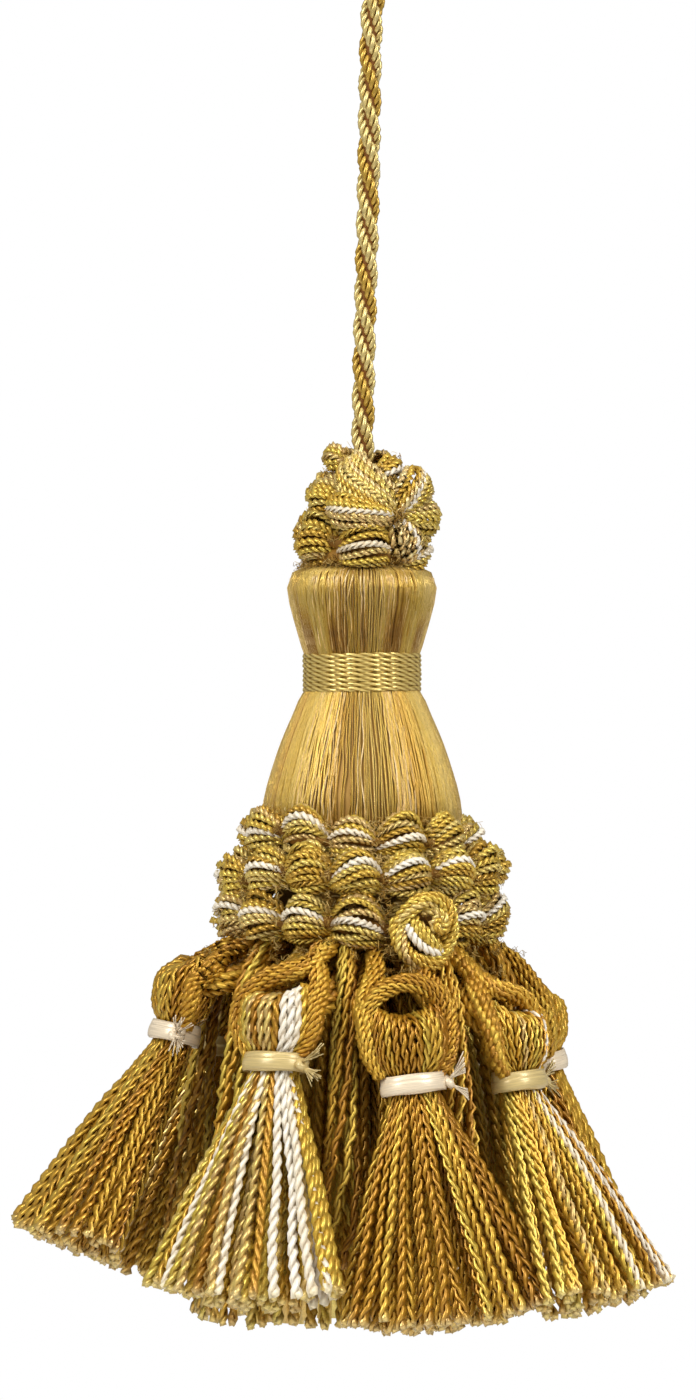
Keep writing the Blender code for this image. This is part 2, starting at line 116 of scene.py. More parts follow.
def twisted_routes(points, pitch, steps_a_turn):
    """Smooth routes with enough steps for the yarn's twist to be round."""
    points = np.asarray(points, float)
    length = distances(points if points.ndim == 3 else points[None]).max()
    steps = int(round(length / pitch * steps_a_turn)) + 1
    return smooth_routes(points, max(FEWEST_STEPS, steps))


def distances(routes):
    """How far along its yarn each point of a route is."""
    walked = np.cumsum(np.linalg.norm(np.diff(routes, axis=1), axis=2), axis=1)
    return np.concatenate([np.zeros((len(routes), 1)), walked], axis=1)


def unit(vectors):
    return vectors / np.linalg.norm(vectors, axis=-1, keepdims=True)


def square_to(along, guide):
    """The direction across a line that is nearest to the guide."""
    return unit(guide - along * np.sum(guide * along, axis=2, keepdims=True))


def side_frames(routes, guide):
    """Two directions across each point of the routes, the first nearest to the guide."""
    along = unit(np.gradient(routes, axis=1))
    first = square_to(along, np.broadcast_to(guide, routes.shape))
    return first, np.cross(along, first)


def around(angle, radius, z):
    """A point at an angle from the front, which is -Y, towards +X. Takes arrays too."""
    angle, radius, z = np.broadcast_arrays(angle, radius, z)
    return np.stack([radius * np.sin(angle), -radius * np.cos(angle), z], axis=-1)


def sideways(angle):
    """The level direction across the one that faces out at an angle."""
    return np.stack([np.cos(angle), np.sin(angle), 0 * angle], axis=-1)

# %% [markdown]
# ## Yarn as geometry
#
# Two plies twisted together catch the light in short slanted dashes, one for each time
# that a ply comes over. A bump texture could fake it, but then the outline stays straight
# and the grooves cast no shadow. So each ply is a tube of its own that winds about the
# other. Bound thread is one tube, with a ridge in its section for each ply. Each point
# also keeps where it lies in its yarn (`lay`), what shade its yarn has (`tone`) and how
# near it is to a cut end (`tip`), for the materials to use.

# %% From arrays to a piece
KEPT_AT_POINTS = (  # what the materials read at each point
    ("lay", "FLOAT_VECTOR", "vector"),
    ("tone", "FLOAT", "value"),
    ("tip", "FLOAT", "value"),
)
made_faces = {}


class Tubes:
    """Gathers the points and faces of many closed tubes for one object."""

    def __init__(self):
        self.kept = []  # (points, lay, tone, tip, quads, caps, finish) of each batch
        self.count = 0

    def keep(self, points, lay, tone, tip, quads, caps, finish):
        flat = points.reshape(-1, 3), lay.reshape(-1, 3), tone.reshape(-1), tip.reshape(-1)
        self.kept.append((*flat, quads.reshape(-1, 4), caps, finish))
        self.count += len(flat[0])

    def placed(self, turn, location):
        """Turns and moves all the yarns from their own frame to the part's."""
        matrix = np.array(Euler(turn).to_matrix())
        self.kept = [(points @ matrix.T + location, *rest) for points, *rest in self.kept]
        return self

    def piece(self, name, finishes, slot, replaces=()):
        """Makes the object, which rides on the part and stands for its plain nodes."""
        points, lay, tone, tip, quads, caps, finish = zip(*self.kept)
        faces = quads + caps
        corners = np.concatenate([some.reshape(-1) for some in faces])
        sizes = np.concatenate([np.full(len(some), some.shape[1]) for some in faces])
        made_of = [np.full(len(some), own) for some, own in zip(faces, finish * 2)]
        mesh = bpy.data.meshes.new(name)
        points = np.concatenate(points) * MM
        mesh.vertices.add(len(points))
        mesh.vertices.foreach_set("co", points.reshape(-1))
        mesh.loops.add(len(corners))
        mesh.loops.foreach_set("vertex_index", corners.astype(np.int32))
        mesh.polygons.add(len(sizes))
        mesh.polygons.foreach_set("loop_start", (np.cumsum(sizes) - sizes).astype(np.int32))
        mesh.polygons.foreach_set("material_index", np.concatenate(made_of).astype(np.int32))
        for (field, kind, key), values in zip(KEPT_AT_POINTS, (lay, tone, tip)):
            attribute = mesh.attributes.new(field, kind, "POINT")
            attribute.data.foreach_set(key, np.concatenate(values).reshape(-1))
        mesh.update(calc_edges=True)
        mesh.shade_smooth()
        for material in finishes:
            mesh.materials.append(material)
        piece = bpy.data.objects.new(name, mesh)
        bpy.context.collection.objects.link(piece)
        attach(piece, "root")
        if replaces:
            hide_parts(*replaces)
        made_faces[name] = int((sizes - 2).sum())
        print(f"{name}: {made_faces[name]} triangles")
        return piece

# %% Twisted yarns
UNTWISTED = 1e6  # length of one turn where a tube doesn't turn
TWO_PLY_CORNERS = (35, 90, 145, 215, 270, 325)  # a groove at 90 and at 270 degrees
PLY_RADIUS = {3: 0.62, 4: 0.55}  # of the yarn's radius, for tubes of so many sides
PLY_OFFSET = 0.48
PLY_SHADE = 0.04
CREST_SHARPNESS = 0.5
TIP_LENGTH = 0.7  # over which a cut end spreads
TIP_SPREAD = 0.35


class Yarns(Tubes):
    """Closed tubes that follow routes, plain, plied or turned."""

    def add(
        self, routes, radius, guide, tone, pitch=UNTWISTED, lobes=0, sides=3, depth=0.55,
        phase=0.0, finish=0, flat=1.0, tips=(False, False), outward=None,
    ):
        """Adds a tube for each route.

        radius may change along the route, pitch is the length of one turn (negative
        turns the other way), depth is how far the grooves between the lobes go in, flat
        scales the second direction of the section, and tips says whether the first and
        the last ends are cut ends, which spread and are paler. outward points from the
        heart of a plied yarn, for the crest of each of its plies.
        """
        yarns, steps = routes.shape[:2]
        first, second = side_frames(routes, guide)
        walked = distances(routes)
        tip = np.zeros((yarns, steps))
        for cut, away in zip(tips, (walked, walked[:, -1:] - walked)):
            if cut:
                tip = np.maximum(tip, np.exp(-away / TIP_LENGTH))
        radius = np.broadcast_to(radius, (yarns, steps)) * (1 + TIP_SPREAD * tip)
        turn = np.reshape(phase, (-1, 1)) + 2 * np.pi * walked / np.reshape(pitch, (-1, 1))
        own = 2 * np.pi * np.arange(sides) / sides
        if lobes == 2:
            own = np.radians(TWO_PLY_CORNERS)
        crest = np.abs(np.cos(lobes * own / 2))
        angle = turn[:, :, None] + own
        size = radius[:, :, None] * (1 - depth * (1 - crest))
        points = (
            routes[:, :, None]
            + (size * np.cos(angle))[..., None] * first[:, :, None]
            + (size * np.sin(angle) * flat)[..., None] * second[:, :, None]
        )
        if outward is not None:
            facing = np.sum((points - routes[:, :, None]) * outward[:, :, None], axis=-1)
            crest = np.clip((1 + facing / size) / 2, 0, 1) ** CREST_SHARPNESS
        # The crest (lay.x) sets the bump's height and the painted shade in the grooves between
        # plies.
        lay = np.empty(points.shape)
        lay[..., 0] = crest
        lay[..., 1] = np.sin(own)
        lay[..., 2] = walked[:, :, None]
        tone = np.asarray(tone, float)
        tone = tone[:, :, None] if tone.ndim == 2 else tone.reshape(-1, 1, 1)
        index = self.count + np.arange(size.size).reshape(size.shape)
        after = np.roll(index, -1, axis=2)
        quads = np.stack([index[:, :-1], after[:, :-1], after[:, 1:], index[:, 1:]], axis=-1)
        caps = np.concatenate([index[:, 0, ::-1], index[:, -1]])
        tone = np.broadcast_to(tone, size.shape)
        self.keep(points, lay, tone, np.repeat(tip, sides), quads, caps, finish)

    def add_plied(self, routes, radius, pitch, guide, tone, phase=0.0, sides=3, **how):
        """Adds yarns of two plies that wind about each other. Each ply is a tube."""
        first, second = side_frames(routes, guide)
        radius = np.broadcast_to(radius, routes.shape[:2])
        turn = np.reshape(phase, (-1, 1))
        turn = turn + 2 * np.pi * distances(routes) / np.reshape(pitch, (-1, 1))
        for ply in (0, 1):
            angle = (turn + np.pi * ply)[..., None]
            outward = np.cos(angle) * first + np.sin(angle) * second
            line = routes + PLY_OFFSET * radius[..., None] * outward
            shade = np.asarray(tone) + PLY_SHADE * (1 - 2 * ply)
            size = PLY_RADIUS[sides] * radius
            self.add(line, size, guide, shade, sides=sides, outward=outward, **how)

    def add_mixed(self, routes, radius, pitch, tone, white, guide, white_finish, **how):
        """Adds plied yarns, of which those that are white have a finish of their own."""
        for which, finish in ((~white, 0), (white, white_finish)):
            if which.any():
                self.add_plied(
                    routes[which], radius[which], pitch[which], guide, tone[which],
                    phase=chance.uniform(0, 6, which.sum()), finish=finish, **how,
                )

    def add_turned(self, rings, finish):
        """Adds a closed body through rings of points, (rings, points, 3)."""
        index = self.count + np.arange(rings.size // 3).reshape(rings.shape[:2])
        after = np.roll(index, -1, axis=1)
        quads = np.stack([index[:-1], index[1:], after[1:], after[:-1]], axis=-1)
        caps = np.stack([index[0], index[-1, ::-1]])
        lay = np.tile((1.0, 0.0, 0.0), (index.size, 1))
        self.keep(rings, lay, np.full(index.size, 0.5), np.zeros(index.size), quads, caps, finish)

# %% [markdown]
# ## Silk in the light
#
# Silk and rayon shine along their fibres: bright dashes on the crests, deep amber in the
# grooves. One group, `Twisted fibres`, does the shared work. It gives the colour of a yarn
# from its crest, its tone and fine streaks that run along the plies, with the height for
# a bump and a shift of the roughness. The colour darkens from the crest into the grooves
# between plies: that is painted shade. A streak's lighter colour is the fibres' own tone,
# and on the floss also a painted glint. The shader stays in each material, where the same
# group gets other colours.

# %% Node helpers
def feed(made, values):
    """Sets inputs of a node: each to a number, a colour or another node's output."""
    for name, value in values.items():
        if isinstance(value, bpy.types.NodeSocket):
            made.id_data.links.new(value, made.inputs[name])
        else:
            made.inputs[name].default_value = (*value, 1.0) if isinstance(value, tuple) else value


def node(tree, kind, values=None, **settings):
    made = tree.nodes.new(kind)
    for name, value in settings.items():
        setattr(made, name, value)
    feed(made, values or {})
    return made


def maths(tree, operation, *values, clamp=False):
    values = dict(enumerate(values))
    return node(tree, "ShaderNodeMath", values, operation=operation, use_clamp=clamp).outputs[0]


def mixed(tree, share, first, second):
    values = {0: share, 6: first, 7: second}
    return node(tree, "ShaderNodeMix", values, data_type="RGBA").outputs[2]

# %% The group for fibres
FIBRE_INPUTS = (  # name, kind, value
    ("Lay", "Vector", None),
    ("Tone", "Float", 0.5),
    ("Yarn Colour", "Color", None),
    ("Groove Shade Colour", "Color", None),
    ("Groove Shade Depth", "Float", 0.7),
    ("Streaks", "Float", 0.5),
    ("Streak Length", "Float", 2.0),
    ("Streaks Across", "Float", 2.6),
    ("Cut End", "Float", 0.0),
    ("Cut Colour", "Color", None),
)
FIBRE_OUTPUTS = (("Colour", "Color"), ("Height", "Float"), ("Roughness", "Float"))
CREST_POWER = 0.9
YARN_TO_YARN = 37.0  # moves the streaks on, so that yarns of other tones have others
STREAK_SCALE = 1.6
STREAK_DETAIL = 3.0
# A streak's lighter colour is the fibres' own tone, and on the floss also a painted glint.
STREAK_TONE_AND_GLINT = 2.0  # how much a streak brightens the yarn
STREAK_SMOOTH = -0.35  # a bright streak is smoother too
CREST_HEIGHT = 0.4


def fibres_group():
    group = bpy.data.node_groups.new("Twisted fibres", "ShaderNodeTree")
    for name, kind, value in FIBRE_INPUTS:
        kind = "NodeSocket" + kind
        made = group.interface.new_socket(name=name, in_out="INPUT", socket_type=kind)
        if value is not None:
            made.default_value = value
    for name, kind in FIBRE_OUTPUTS:
        group.interface.new_socket(name=name, in_out="OUTPUT", socket_type="NodeSocket" + kind)
    given = node(group, "NodeGroupInput").outputs
    parts = node(group, "ShaderNodeSeparateXYZ", {0: given["Lay"]}).outputs
    crest = maths(group, "POWER", parts["X"], CREST_POWER)

    # Streaks: noise that is fine across the ply and long along it.
    place = {axis: maths(group, "MULTIPLY", parts[axis], given["Streaks Across"]) for axis in "XY"}
    along = maths(group, "DIVIDE", parts["Z"], given["Streak Length"])
    place["Z"] = maths(group, "ADD", along, maths(group, "MULTIPLY", given["Tone"], YARN_TO_YARN))
    place = node(group, "ShaderNodeCombineXYZ", place).outputs[0]
    noise = {"Vector": place, "Scale": STREAK_SCALE, "Detail": STREAK_DETAIL}
    noise = node(group, "ShaderNodeTexNoise", noise, noise_dimensions="3D")
    streak = maths(group, "SUBTRACT", noise.outputs["Fac"], 0.5)
    streak = maths(group, "MULTIPLY", streak, given["Streaks"])

    # Painted shade: the colour darkens from the crest into the grooves between plies.
    groove = maths(group, "SUBTRACT", 1.0, crest)
    groove = maths(group, "MULTIPLY", groove, given["Groove Shade Depth"], clamp=True)
    colour = mixed(group, groove, given["Yarn Colour"], given["Groove Shade Colour"])
    colour = mixed(group, given["Cut End"], colour, given["Cut Colour"])
    # Streaks scale the colour: the fibres' own tone, and on the floss painted glints.
    light = maths(group, "MULTIPLY_ADD", streak, STREAK_TONE_AND_GLINT, 1.0)
    lit = node(group, "ShaderNodeVectorMath", {0: colour, "Scale": light}, operation="SCALE")
    results = {
        "Colour": lit.outputs[0],
        "Height": maths(group, "ADD", maths(group, "MULTIPLY", crest, CREST_HEIGHT), streak),
        "Roughness": maths(group, "MULTIPLY", streak, STREAK_SMOOTH),
    }
    node(group, "NodeGroupOutput", results)
    return group


TWISTED_FIBRES = fibres_group()
print("group:", TWISTED_FIBRES.name, "puts out", [name for name, _ in FIBRE_OUTPUTS])

# %% Colours of the yarns
STRAW = (0.76, 0.56, 0.15)
PALE_STRAW = (0.88, 0.74, 0.36)
GOLD = (0.70, 0.44, 0.055)
DEEP_GOLD = (0.56, 0.30, 0.024)
BROWN = (0.40, 0.185, 0.017)
OLIVE = (0.66, 0.50, 0.075)
TAN = (0.66, 0.45, 0.16)
WHITE = (0.88, 0.83, 0.71)
# The darkest colours here serve mostly as painted shade, in grooves and in dark cores.
AMBER = (0.15, 0.045, 0.0)
DARK_AMBER = (0.07, 0.02, 0.0)
GOLDEN_GROOVE_SHADE = (0.20, 0.085, 0.004)
SHEEN_TINT = (0.95, 0.70, 0.34)
CUT_PALENESS = 0.4

# %% A yarn material
# groove is the colour of the painted shade in the grooves between plies.
def yarn_material(
    name, shades, groove, groove_shade_depth=0.9, streaks=0.5, streak_length=2.0,
    streaks_across=2.6, roughness=0.28, sheen=0.0, specular=0.7,
    specular_tint=(1.0, 0.92, 0.7), metallic=0.45, relief=0.05,
):
    """A silk yarn. shades is a list of (tone, colour): a yarn's tone picks its colour."""
    material = bpy.data.materials.new(name)
    material.use_nodes = True
    tree = material.node_tree
    lay, tone, tip = (
        node(tree, "ShaderNodeAttribute", attribute_name=field).outputs
        for field, _, _ in KEPT_AT_POINTS
    )
    ramp = node(tree, "ShaderNodeValToRGB", {"Fac": tone["Fac"]})
    elements = ramp.color_ramp.elements
    while len(elements) < len(shades):
        elements.new(0.5)
    for element, (place, colour) in zip(elements, shades):
        element.position = place
        element.color = (*colour, 1.0)
    fibres = {
        "Lay": lay["Vector"],
        "Tone": tone["Fac"],
        "Yarn Colour": ramp.outputs["Color"],
        "Groove Shade Colour": groove,
        "Groove Shade Depth": groove_shade_depth,
        "Streaks": streaks,
        "Streak Length": streak_length,
        "Streaks Across": streaks_across,
        "Cut End": maths(tree, "MULTIPLY", tip["Fac"], CUT_PALENESS),
        "Cut Colour": PALE_STRAW,
    }
    fibres = node(tree, "ShaderNodeGroup", node_tree=TWISTED_FIBRES, values=fibres).outputs
    bump = {"Strength": 0.6, "Distance": relief * MM, "Height": fibres["Height"]}
    shader = {
        "Base Color": fibres["Colour"],
        "Roughness": maths(tree, "ADD", fibres["Roughness"], roughness, clamp=True),
        "Normal": node(tree, "ShaderNodeBump", bump).outputs["Normal"],
        "Specular IOR Level": specular,
        "Metallic": metallic,
        "Specular Tint": specular_tint,
        "Sheen Weight": sheen,
        "Sheen Roughness": 0.4,
        "Sheen Tint": SHEEN_TINT,
    }
    feed(tree.nodes["Principled BSDF"], shader)
    return material

# %% The finishes
SKIRT_SHADES = (
    (0.0, BROWN), (0.25, DEEP_GOLD), (0.5, GOLD), (0.7, OLIVE), (0.85, TAN), (1.0, STRAW),
)
GIMP_SHADES = (
    (0.0, (0.46, 0.25, 0.03)), (0.3, (0.68, 0.44, 0.065)), (0.5, (0.70, 0.51, 0.085)),
    (0.7, (0.76, 0.58, 0.19)), (0.85, (0.68, 0.46, 0.18)), (1.0, PALE_STRAW),
)
skirt_yarn = yarn_material("skirt yarn", SKIRT_SHADES, AMBER)
white_yarn = yarn_material(
    "white rayon yarn", ((0.0, (0.80, 0.69, 0.49)), (1.0, WHITE)), (0.30, 0.18, 0.055),
    groove_shade_depth=1.0, metallic=0.0, specular_tint=(1.0, 1.0, 1.0),
)
gimp_yarn = yarn_material("gimp yarn", GIMP_SHADES, GOLDEN_GROOVE_SHADE)
cord_silk = yarn_material(
    "cord silk",
    ((0.0, (0.44, 0.24, 0.02)), (0.3, (0.56, 0.39, 0.09)), (1.0, (0.66, 0.52, 0.21))),
    AMBER, roughness=0.3,
)
print("finishes:", [m.name for m in bpy.data.materials if "finish" not in m.name])

# %% [markdown]
# ## The hanging cord
#
# The cord is laid from three strands, two of pale straw silk and one of darker gold,
# and each strand is itself three threads twisted the other way, which is what locks a
# rope. So a thread's line is a small helix round a large one. The route's points are
# the same as the solid's: up from the crown, round the loop and back into its binding.

# %% Hanging cord
LOOP_SIDE = (
    (1.95, -28.0), (2.0, -24.6), (2.9, -20.4), (5.9, -14.8), (7.8, -10.4), (8.1, -5.8),
    (5.4, -0.6),
)
CORD_ROUTE = (  # (x, z), as in the solid
    (0.0, -102.4), (0.1, -98.0), (0.3, -85.0), (0.6, -73.0), (0.9, -61.0), (1.1, -49.0),
    (1.3, -38.0), (1.7, -32.5), *LOOP_SIDE, (0.0, 1.75),
    *((-x, z) for x, z in reversed(LOOP_SIDE)), (-1.9, -29.8),
)
CORD_PITCH = -15.0
CORD_STRANDS = 3
STRAND_OFFSET = 0.94
STRAND_THREADS = 3
THREAD_OFFSET = 0.5
THREAD_RADIUS = 0.345
THREAD_PITCH = -3.1
THREAD_TWIST = -9.0  # length of one turn of a thread about itself
CORE_RADIUS = 0.95
CORD_STEP = 0.5
TURN_AT_START = 0.4  # turns of the lay where the cord leaves the crown


def cord_threads():
    points = [(x, 0.0, z) for x, z in CORD_ROUTE]
    length = distances(smooth_routes(points, 400))[0, -1]
    route = smooth_routes(points, int(length / CORD_STEP))
    walked = distances(route)
    first, second = side_frames(route, BACK)
    yarns = Yarns()
    yarns.add(smooth_routes(points, 90), CORE_RADIUS, BACK, 0.0, sides=8, finish=1)
    for strand in range(CORD_STRANDS):
        turns = strand / CORD_STRANDS + TURN_AT_START + walked / CORD_PITCH
        lay = 2 * np.pi * turns[..., None]
        out = np.cos(lay) * first + np.sin(lay) * second
        line = route + STRAND_OFFSET * out
        along = unit(np.gradient(line, axis=1))
        out = square_to(along, out)
        over = np.cross(along, out)
        for thread in range(STRAND_THREADS):
            turn = -2 * np.pi * (thread / STRAND_THREADS + walked / THREAD_PITCH)[..., None]
            middle = line + THREAD_OFFSET * (np.cos(turn) * out + np.sin(turn) * over)
            shade = 0.12 if strand == 0 else chance.uniform(0.6, 1.0)
            yarns.add(middle, THREAD_RADIUS, out, shade, THREAD_TWIST, sides=5)
    return yarns, route[0], length


cord_yarns, cord_path, cord_length = cord_threads()
shadow = yarn_material("shadow in the cord", ((0.0, AMBER), (1.0, AMBER)), AMBER, roughness=0.6)
cord = cord_yarns.piece("cord_threads", [cord_silk, shadow], "cord_silk", ["hanging_cord"])
print("cord length, mm:", round(cord_length, 1))

# %% [markdown]
# ## The loop's binding
#
# At its top the cord turns back on itself and makes the loop that the tassel hangs by.
# A thread is wound round both legs and holds them. It is one yarn that runs round an
# oval and sinks by a little less than its own thickness with each turn.

# %% Whipping
WHIPPING_TOP = -23.9
WHIPPING_BOTTOM = -28.9
WHIPPING_TURNS = 6
WHIPPING_REACH = 1.95
WHIPPING_RADIUS = 2.75
WHIPPING_THREAD = 0.5
WHIPPING_PITCH = 2.4

band_thread = yarn_material(
    "band thread", ((0.0, (0.70, 0.52, 0.14)), (1.0, (0.79, 0.61, 0.21))), (0.24, 0.13, 0.015),
    groove_shade_depth=1.0, roughness=0.25, streaks=0.3, metallic=0.4,
)


def whipping():
    turn = np.linspace(0, WHIPPING_TURNS, WHIPPING_TURNS * 40 + 1)
    angle = 2 * np.pi * turn
    x = WHIPPING_REACH * np.tanh(3 * np.cos(angle)) + WHIPPING_RADIUS * np.cos(angle)
    z = WHIPPING_TOP + (WHIPPING_BOTTOM - WHIPPING_TOP) * turn / WHIPPING_TURNS
    points = np.stack([x, WHIPPING_RADIUS * np.sin(angle), z], axis=-1)
    yarns = Yarns()
    route = twisted_routes(points, WHIPPING_PITCH, 6)
    corners = len(TWO_PLY_CORNERS)
    yarns.add(route, WHIPPING_THREAD, UP, 0.35, WHIPPING_PITCH, lobes=2, sides=corners)
    return yarns


whipping_piece = whipping().piece(
    "whipping_thread", [band_thread], "band_thread", ["loop_whipping"]
)

# %% [markdown]
# ## The crown
#
# The crown is a turned mould with a skein of silk floss combed down over it and bound
# in at the neck. Floss is hardly twisted, so smooth strands follow the mould's profile,
# each at its own angle. They are narrow and deep, and the grooves between them make the
# fine dark lines of the floss. Over them lie locks of crinkled strands, which are duller
# and lean a little. Just above the binding the floss is darker in patches: painted shade.
# Above the binding the smooth floss is also a little paler: painted light. A plain turned
# body sits just below, because between the strands one sees into shadow and not through
# the tassel.

# %% Floss finishes
# The floss's short strong streaks are partly painted glints along the strands.
floss = yarn_material(
    "crown floss",
    ((0.0, (0.23, 0.10, 0.007)), (0.3, (0.40, 0.22, 0.022)), (0.6, (0.53, 0.35, 0.06)),
     (0.8, (0.57, 0.395, 0.10)), (1.0, (0.63, 0.445, 0.15))),
    BROWN, groove_shade_depth=0.6, streaks=1.3, streak_length=1.1, streaks_across=6.0,
    specular=0.65, relief=0.09, roughness=0.3, sheen=1.0,
)
# Its short bright streaks are painted glints on the crinkles, with the fibres' own tone.
crinkled_floss = yarn_material(
    "crinkled floss",
    ((0.0, (0.46, 0.25, 0.045)), (0.5, (0.69, 0.46, 0.16)), (1.0, (0.82, 0.62, 0.32))),
    BROWN, groove_shade_depth=0.0, streaks=1.5, streak_length=0.7, relief=0.12, roughness=0.42,
    metallic=0.2, sheen=1.0,
)
core_material = yarn_material(
    "shadowed core", ((0.0, AMBER), (1.0, (0.56, 0.36, 0.09))), DARK_AMBER, roughness=0.6
)
print("floss finishes:", [m.name for m in (floss, crinkled_floss, core_material)])

# %% Strands down the mould
CROWN_PROFILE = (  # (radius, z) of the floss, from under the ruff to under the collar
    (3.6, -113.9), (7.6, -114.6), (9.6, -115.4), (10.4, -116.9), (10.15, -119.4),
    (9.25, -122.8), (8.35, -125.9), (7.75, -127.3), (7.6, -129.5), (7.75, -131.9),
    (8.55, -133.2), (9.8, -136.2), (11.2, -139.4), (12.5, -143.2), (13.6, -147.0),
    (14.1, -150.4), (13.5, -152.2),
)
CROWN_FOOT = ((12.4, -153.4), (12.4, -163.0))
CROWN_HEART = 0.3  # radius at which the turned body closes at its top
CORE_DEPTH = 0.22
CORE_SIDES = 48
NECK_SHADOW_Z = -124.6  # painted shade lies in patches on the floss here
NECK_SHADOW_REACH = 3.2
STRAND_SINK = 0.7  # of its size, which a strand lies inside the profile
print("crown, mm high:", round(CROWN_PROFILE[0][1] - CROWN_FOOT[-1][1], 1))


def strands(own, drift, size, lift, steps):
    """Routes of strands, each at its own angle down the mould's profile."""
    radii, heights = np.array(CROWN_PROFILE).T
    radii = radii - size[:, None] * STRAND_SINK + lift[:, None]
    return smooth_routes(around(own[:, None] + drift, radii, heights), steps)


# Painted shade: dark patches on the floss just above the neck.
def neck_shade(own, route):
    """How far each point lies in one of the dark patches above the neck."""
    patches = np.clip(np.sin(10.6 * own + 2.2) + 0.45, 0, 1)[:, None]
    above_neck = (route[..., 2] - NECK_SHADOW_Z) / NECK_SHADOW_REACH
    return np.exp(-(above_neck**2)) * patches

# %% Crown
SMOOTH_STRANDS = 250
SMOOTH_STEPS = 22
SMOOTH_SIZES = (0.11, 0.15)
SMOOTH_LIFTS = (-0.03, 0.03)  # how far a strand lies out from the profile
SMOOTH_DRIFT = 0.012  # radians by which it wanders on its way
SMOOTH_DEPTH = 3.0  # a smooth strand is this much deeper than it is wide
LOCKS = 80
LOCK_WIDTH = 0.05
LOCK_LEAN = 0.07
CRINKLED_STRANDS = 225
CRINKLED_STEPS = 32
CRINKLED_SIZES = (0.1, 0.16)
CRINKLED_LIFTS = (0.08, 0.18)
CRINKLED_DRIFT = 0.018
NECK_SHADOW_SMOOTH = 0.85  # what the patches take from the tone of smooth floss
NECK_SHADOW_CRINKLED = 0.6
PAINTED_LIGHT_ABOVE = -128.0  # painted light: the smooth floss gets paler from here up
PAINTED_LIGHT_BY = 0.08
PAINTED_LIGHT_OVER = 5.0


def crown():
    yarns = Yarns()
    core = [(r - CORE_DEPTH, z) for r, z in CROWN_PROFILE] + list(CROWN_FOOT)
    radii, heights = np.array([(CROWN_HEART, core[0][1])] + core).T[..., None]
    turn = np.arange(CORE_SIDES) * 2 * np.pi / CORE_SIDES
    yarns.add_turned(around(turn, radii, heights), finish=1)
    rows = len(CROWN_PROFILE)

    count = SMOOTH_STRANDS
    own = 2 * np.pi * (np.arange(count) + chance.uniform(-0.35, 0.35, count)) / count
    size = chance.uniform(*SMOOTH_SIZES, count)
    drift = chance.normal(0, SMOOTH_DRIFT, (count, rows))
    route = strands(own, drift, size, chance.uniform(*SMOOTH_LIFTS, count), SMOOTH_STEPS)
    tone = 0.5 + 0.14 * np.sin(7 * own + 0.4) + chance.normal(0, 0.1, count)
    # Painted light: the smooth floss is paler towards the top. Painted shade darkens its patches
    # above the neck.
    above = PAINTED_LIGHT_BY * np.clip((route[..., 2] - PAINTED_LIGHT_ABOVE) / PAINTED_LIGHT_OVER, 0, 1)
    tone = tone[:, None] + above - NECK_SHADOW_SMOOTH * neck_shade(own, route)
    tone = np.clip(tone, 0, 0.95)
    yarns.add(route, size[:, None], sideways(own)[:, None], tone, sides=4, flat=SMOOTH_DEPTH)

    count = CRINKLED_STRANDS
    lock = chance.uniform(0, 2 * np.pi, LOCKS)
    lock = lock[np.sin(6 * lock + 5.3) + chance.normal(0, 0.5, LOCKS) > -0.25]
    chosen = chance.integers(0, len(lock), count)
    own = lock[chosen] + chance.normal(0, LOCK_WIDTH, count)
    lean = chance.normal(0, LOCK_LEAN, len(lock))[chosen][:, None] * np.linspace(-1, 1, rows)
    drift = lean + chance.normal(0, CRINKLED_DRIFT, (count, rows))
    size = chance.uniform(*CRINKLED_SIZES, count)
    route = strands(own, drift, size, chance.uniform(*CRINKLED_LIFTS, count), CRINKLED_STEPS)
    tone = chance.uniform(0.1, 1.0, count)[:, None]
    # The painted shade of the patches above the neck darkens the crinkled strands too.
    tone = np.clip(tone - NECK_SHADOW_CRINKLED * neck_shade(own, route), 0, 1)
    yarns.add(route, size[:, None], sideways(own)[:, None], tone, finish=2)
    return yarns


crown().piece("crown_floss", [floss, core_material, crinkled_floss], "crown_floss", ["crown"])

# %% [markdown]
# ## The neck band
#
# Eight turns of one satin thread hold the floss in at the neck. It is laid from three
# plies, which make long slanted dashes, so its section has three ridges. The turns rise a
# little to one side, as hand winding does.

# %% Neck band
BAND_TOP = -126.85
BAND_BOTTOM = -132.25
BAND_TURNS = 7.9
BAND_START = 2.6  # angle at which the winding starts
BAND_RADIUS = 8.14
BAND_THREAD = 0.45
BAND_PITCH = 6.4
BAND_PLIES = 3
BAND_RISE = 0.22


def neck_band():
    turn = np.linspace(0, 1, 700)
    angle = 2 * np.pi * BAND_TURNS * turn + BAND_START
    z = BAND_TOP + (BAND_BOTTOM - BAND_TOP) * turn + BAND_RISE * np.sin(angle)
    wander = 0.05 * np.sin(3.1 * angle) + 0.04 * np.sin(7.7 * angle)
    points = around(angle, BAND_RADIUS + 0.5 * wander, z + wander)
    yarns = Yarns()
    yarns.add(
        twisted_routes(points, BAND_PITCH, 8), BAND_THREAD, UP, 0.6, BAND_PITCH,
        lobes=BAND_PLIES, sides=4 * BAND_PLIES, depth=0.34,
    )
    return yarns


neck_band().piece("neck_thread", [band_thread], "band_thread", ["neck_band"])

# %% [markdown]
# ## Puffed gimp
#
# The ruff and the collar are gimp: a bundle of twisted yarns bound tight every few
# millimetres, so that it swells into a puff between two bindings. Each yarn of a puff
# bows from pinch to pinch at its own place round the bundle, and the whole puff bows up.
# Only the outer side is laid, because the inner side is against the crown. A heart, dark
# as painted shade, stops the light between the yarns, a dark thread is wound on each pinch,
# and soft fibre sticks out there.

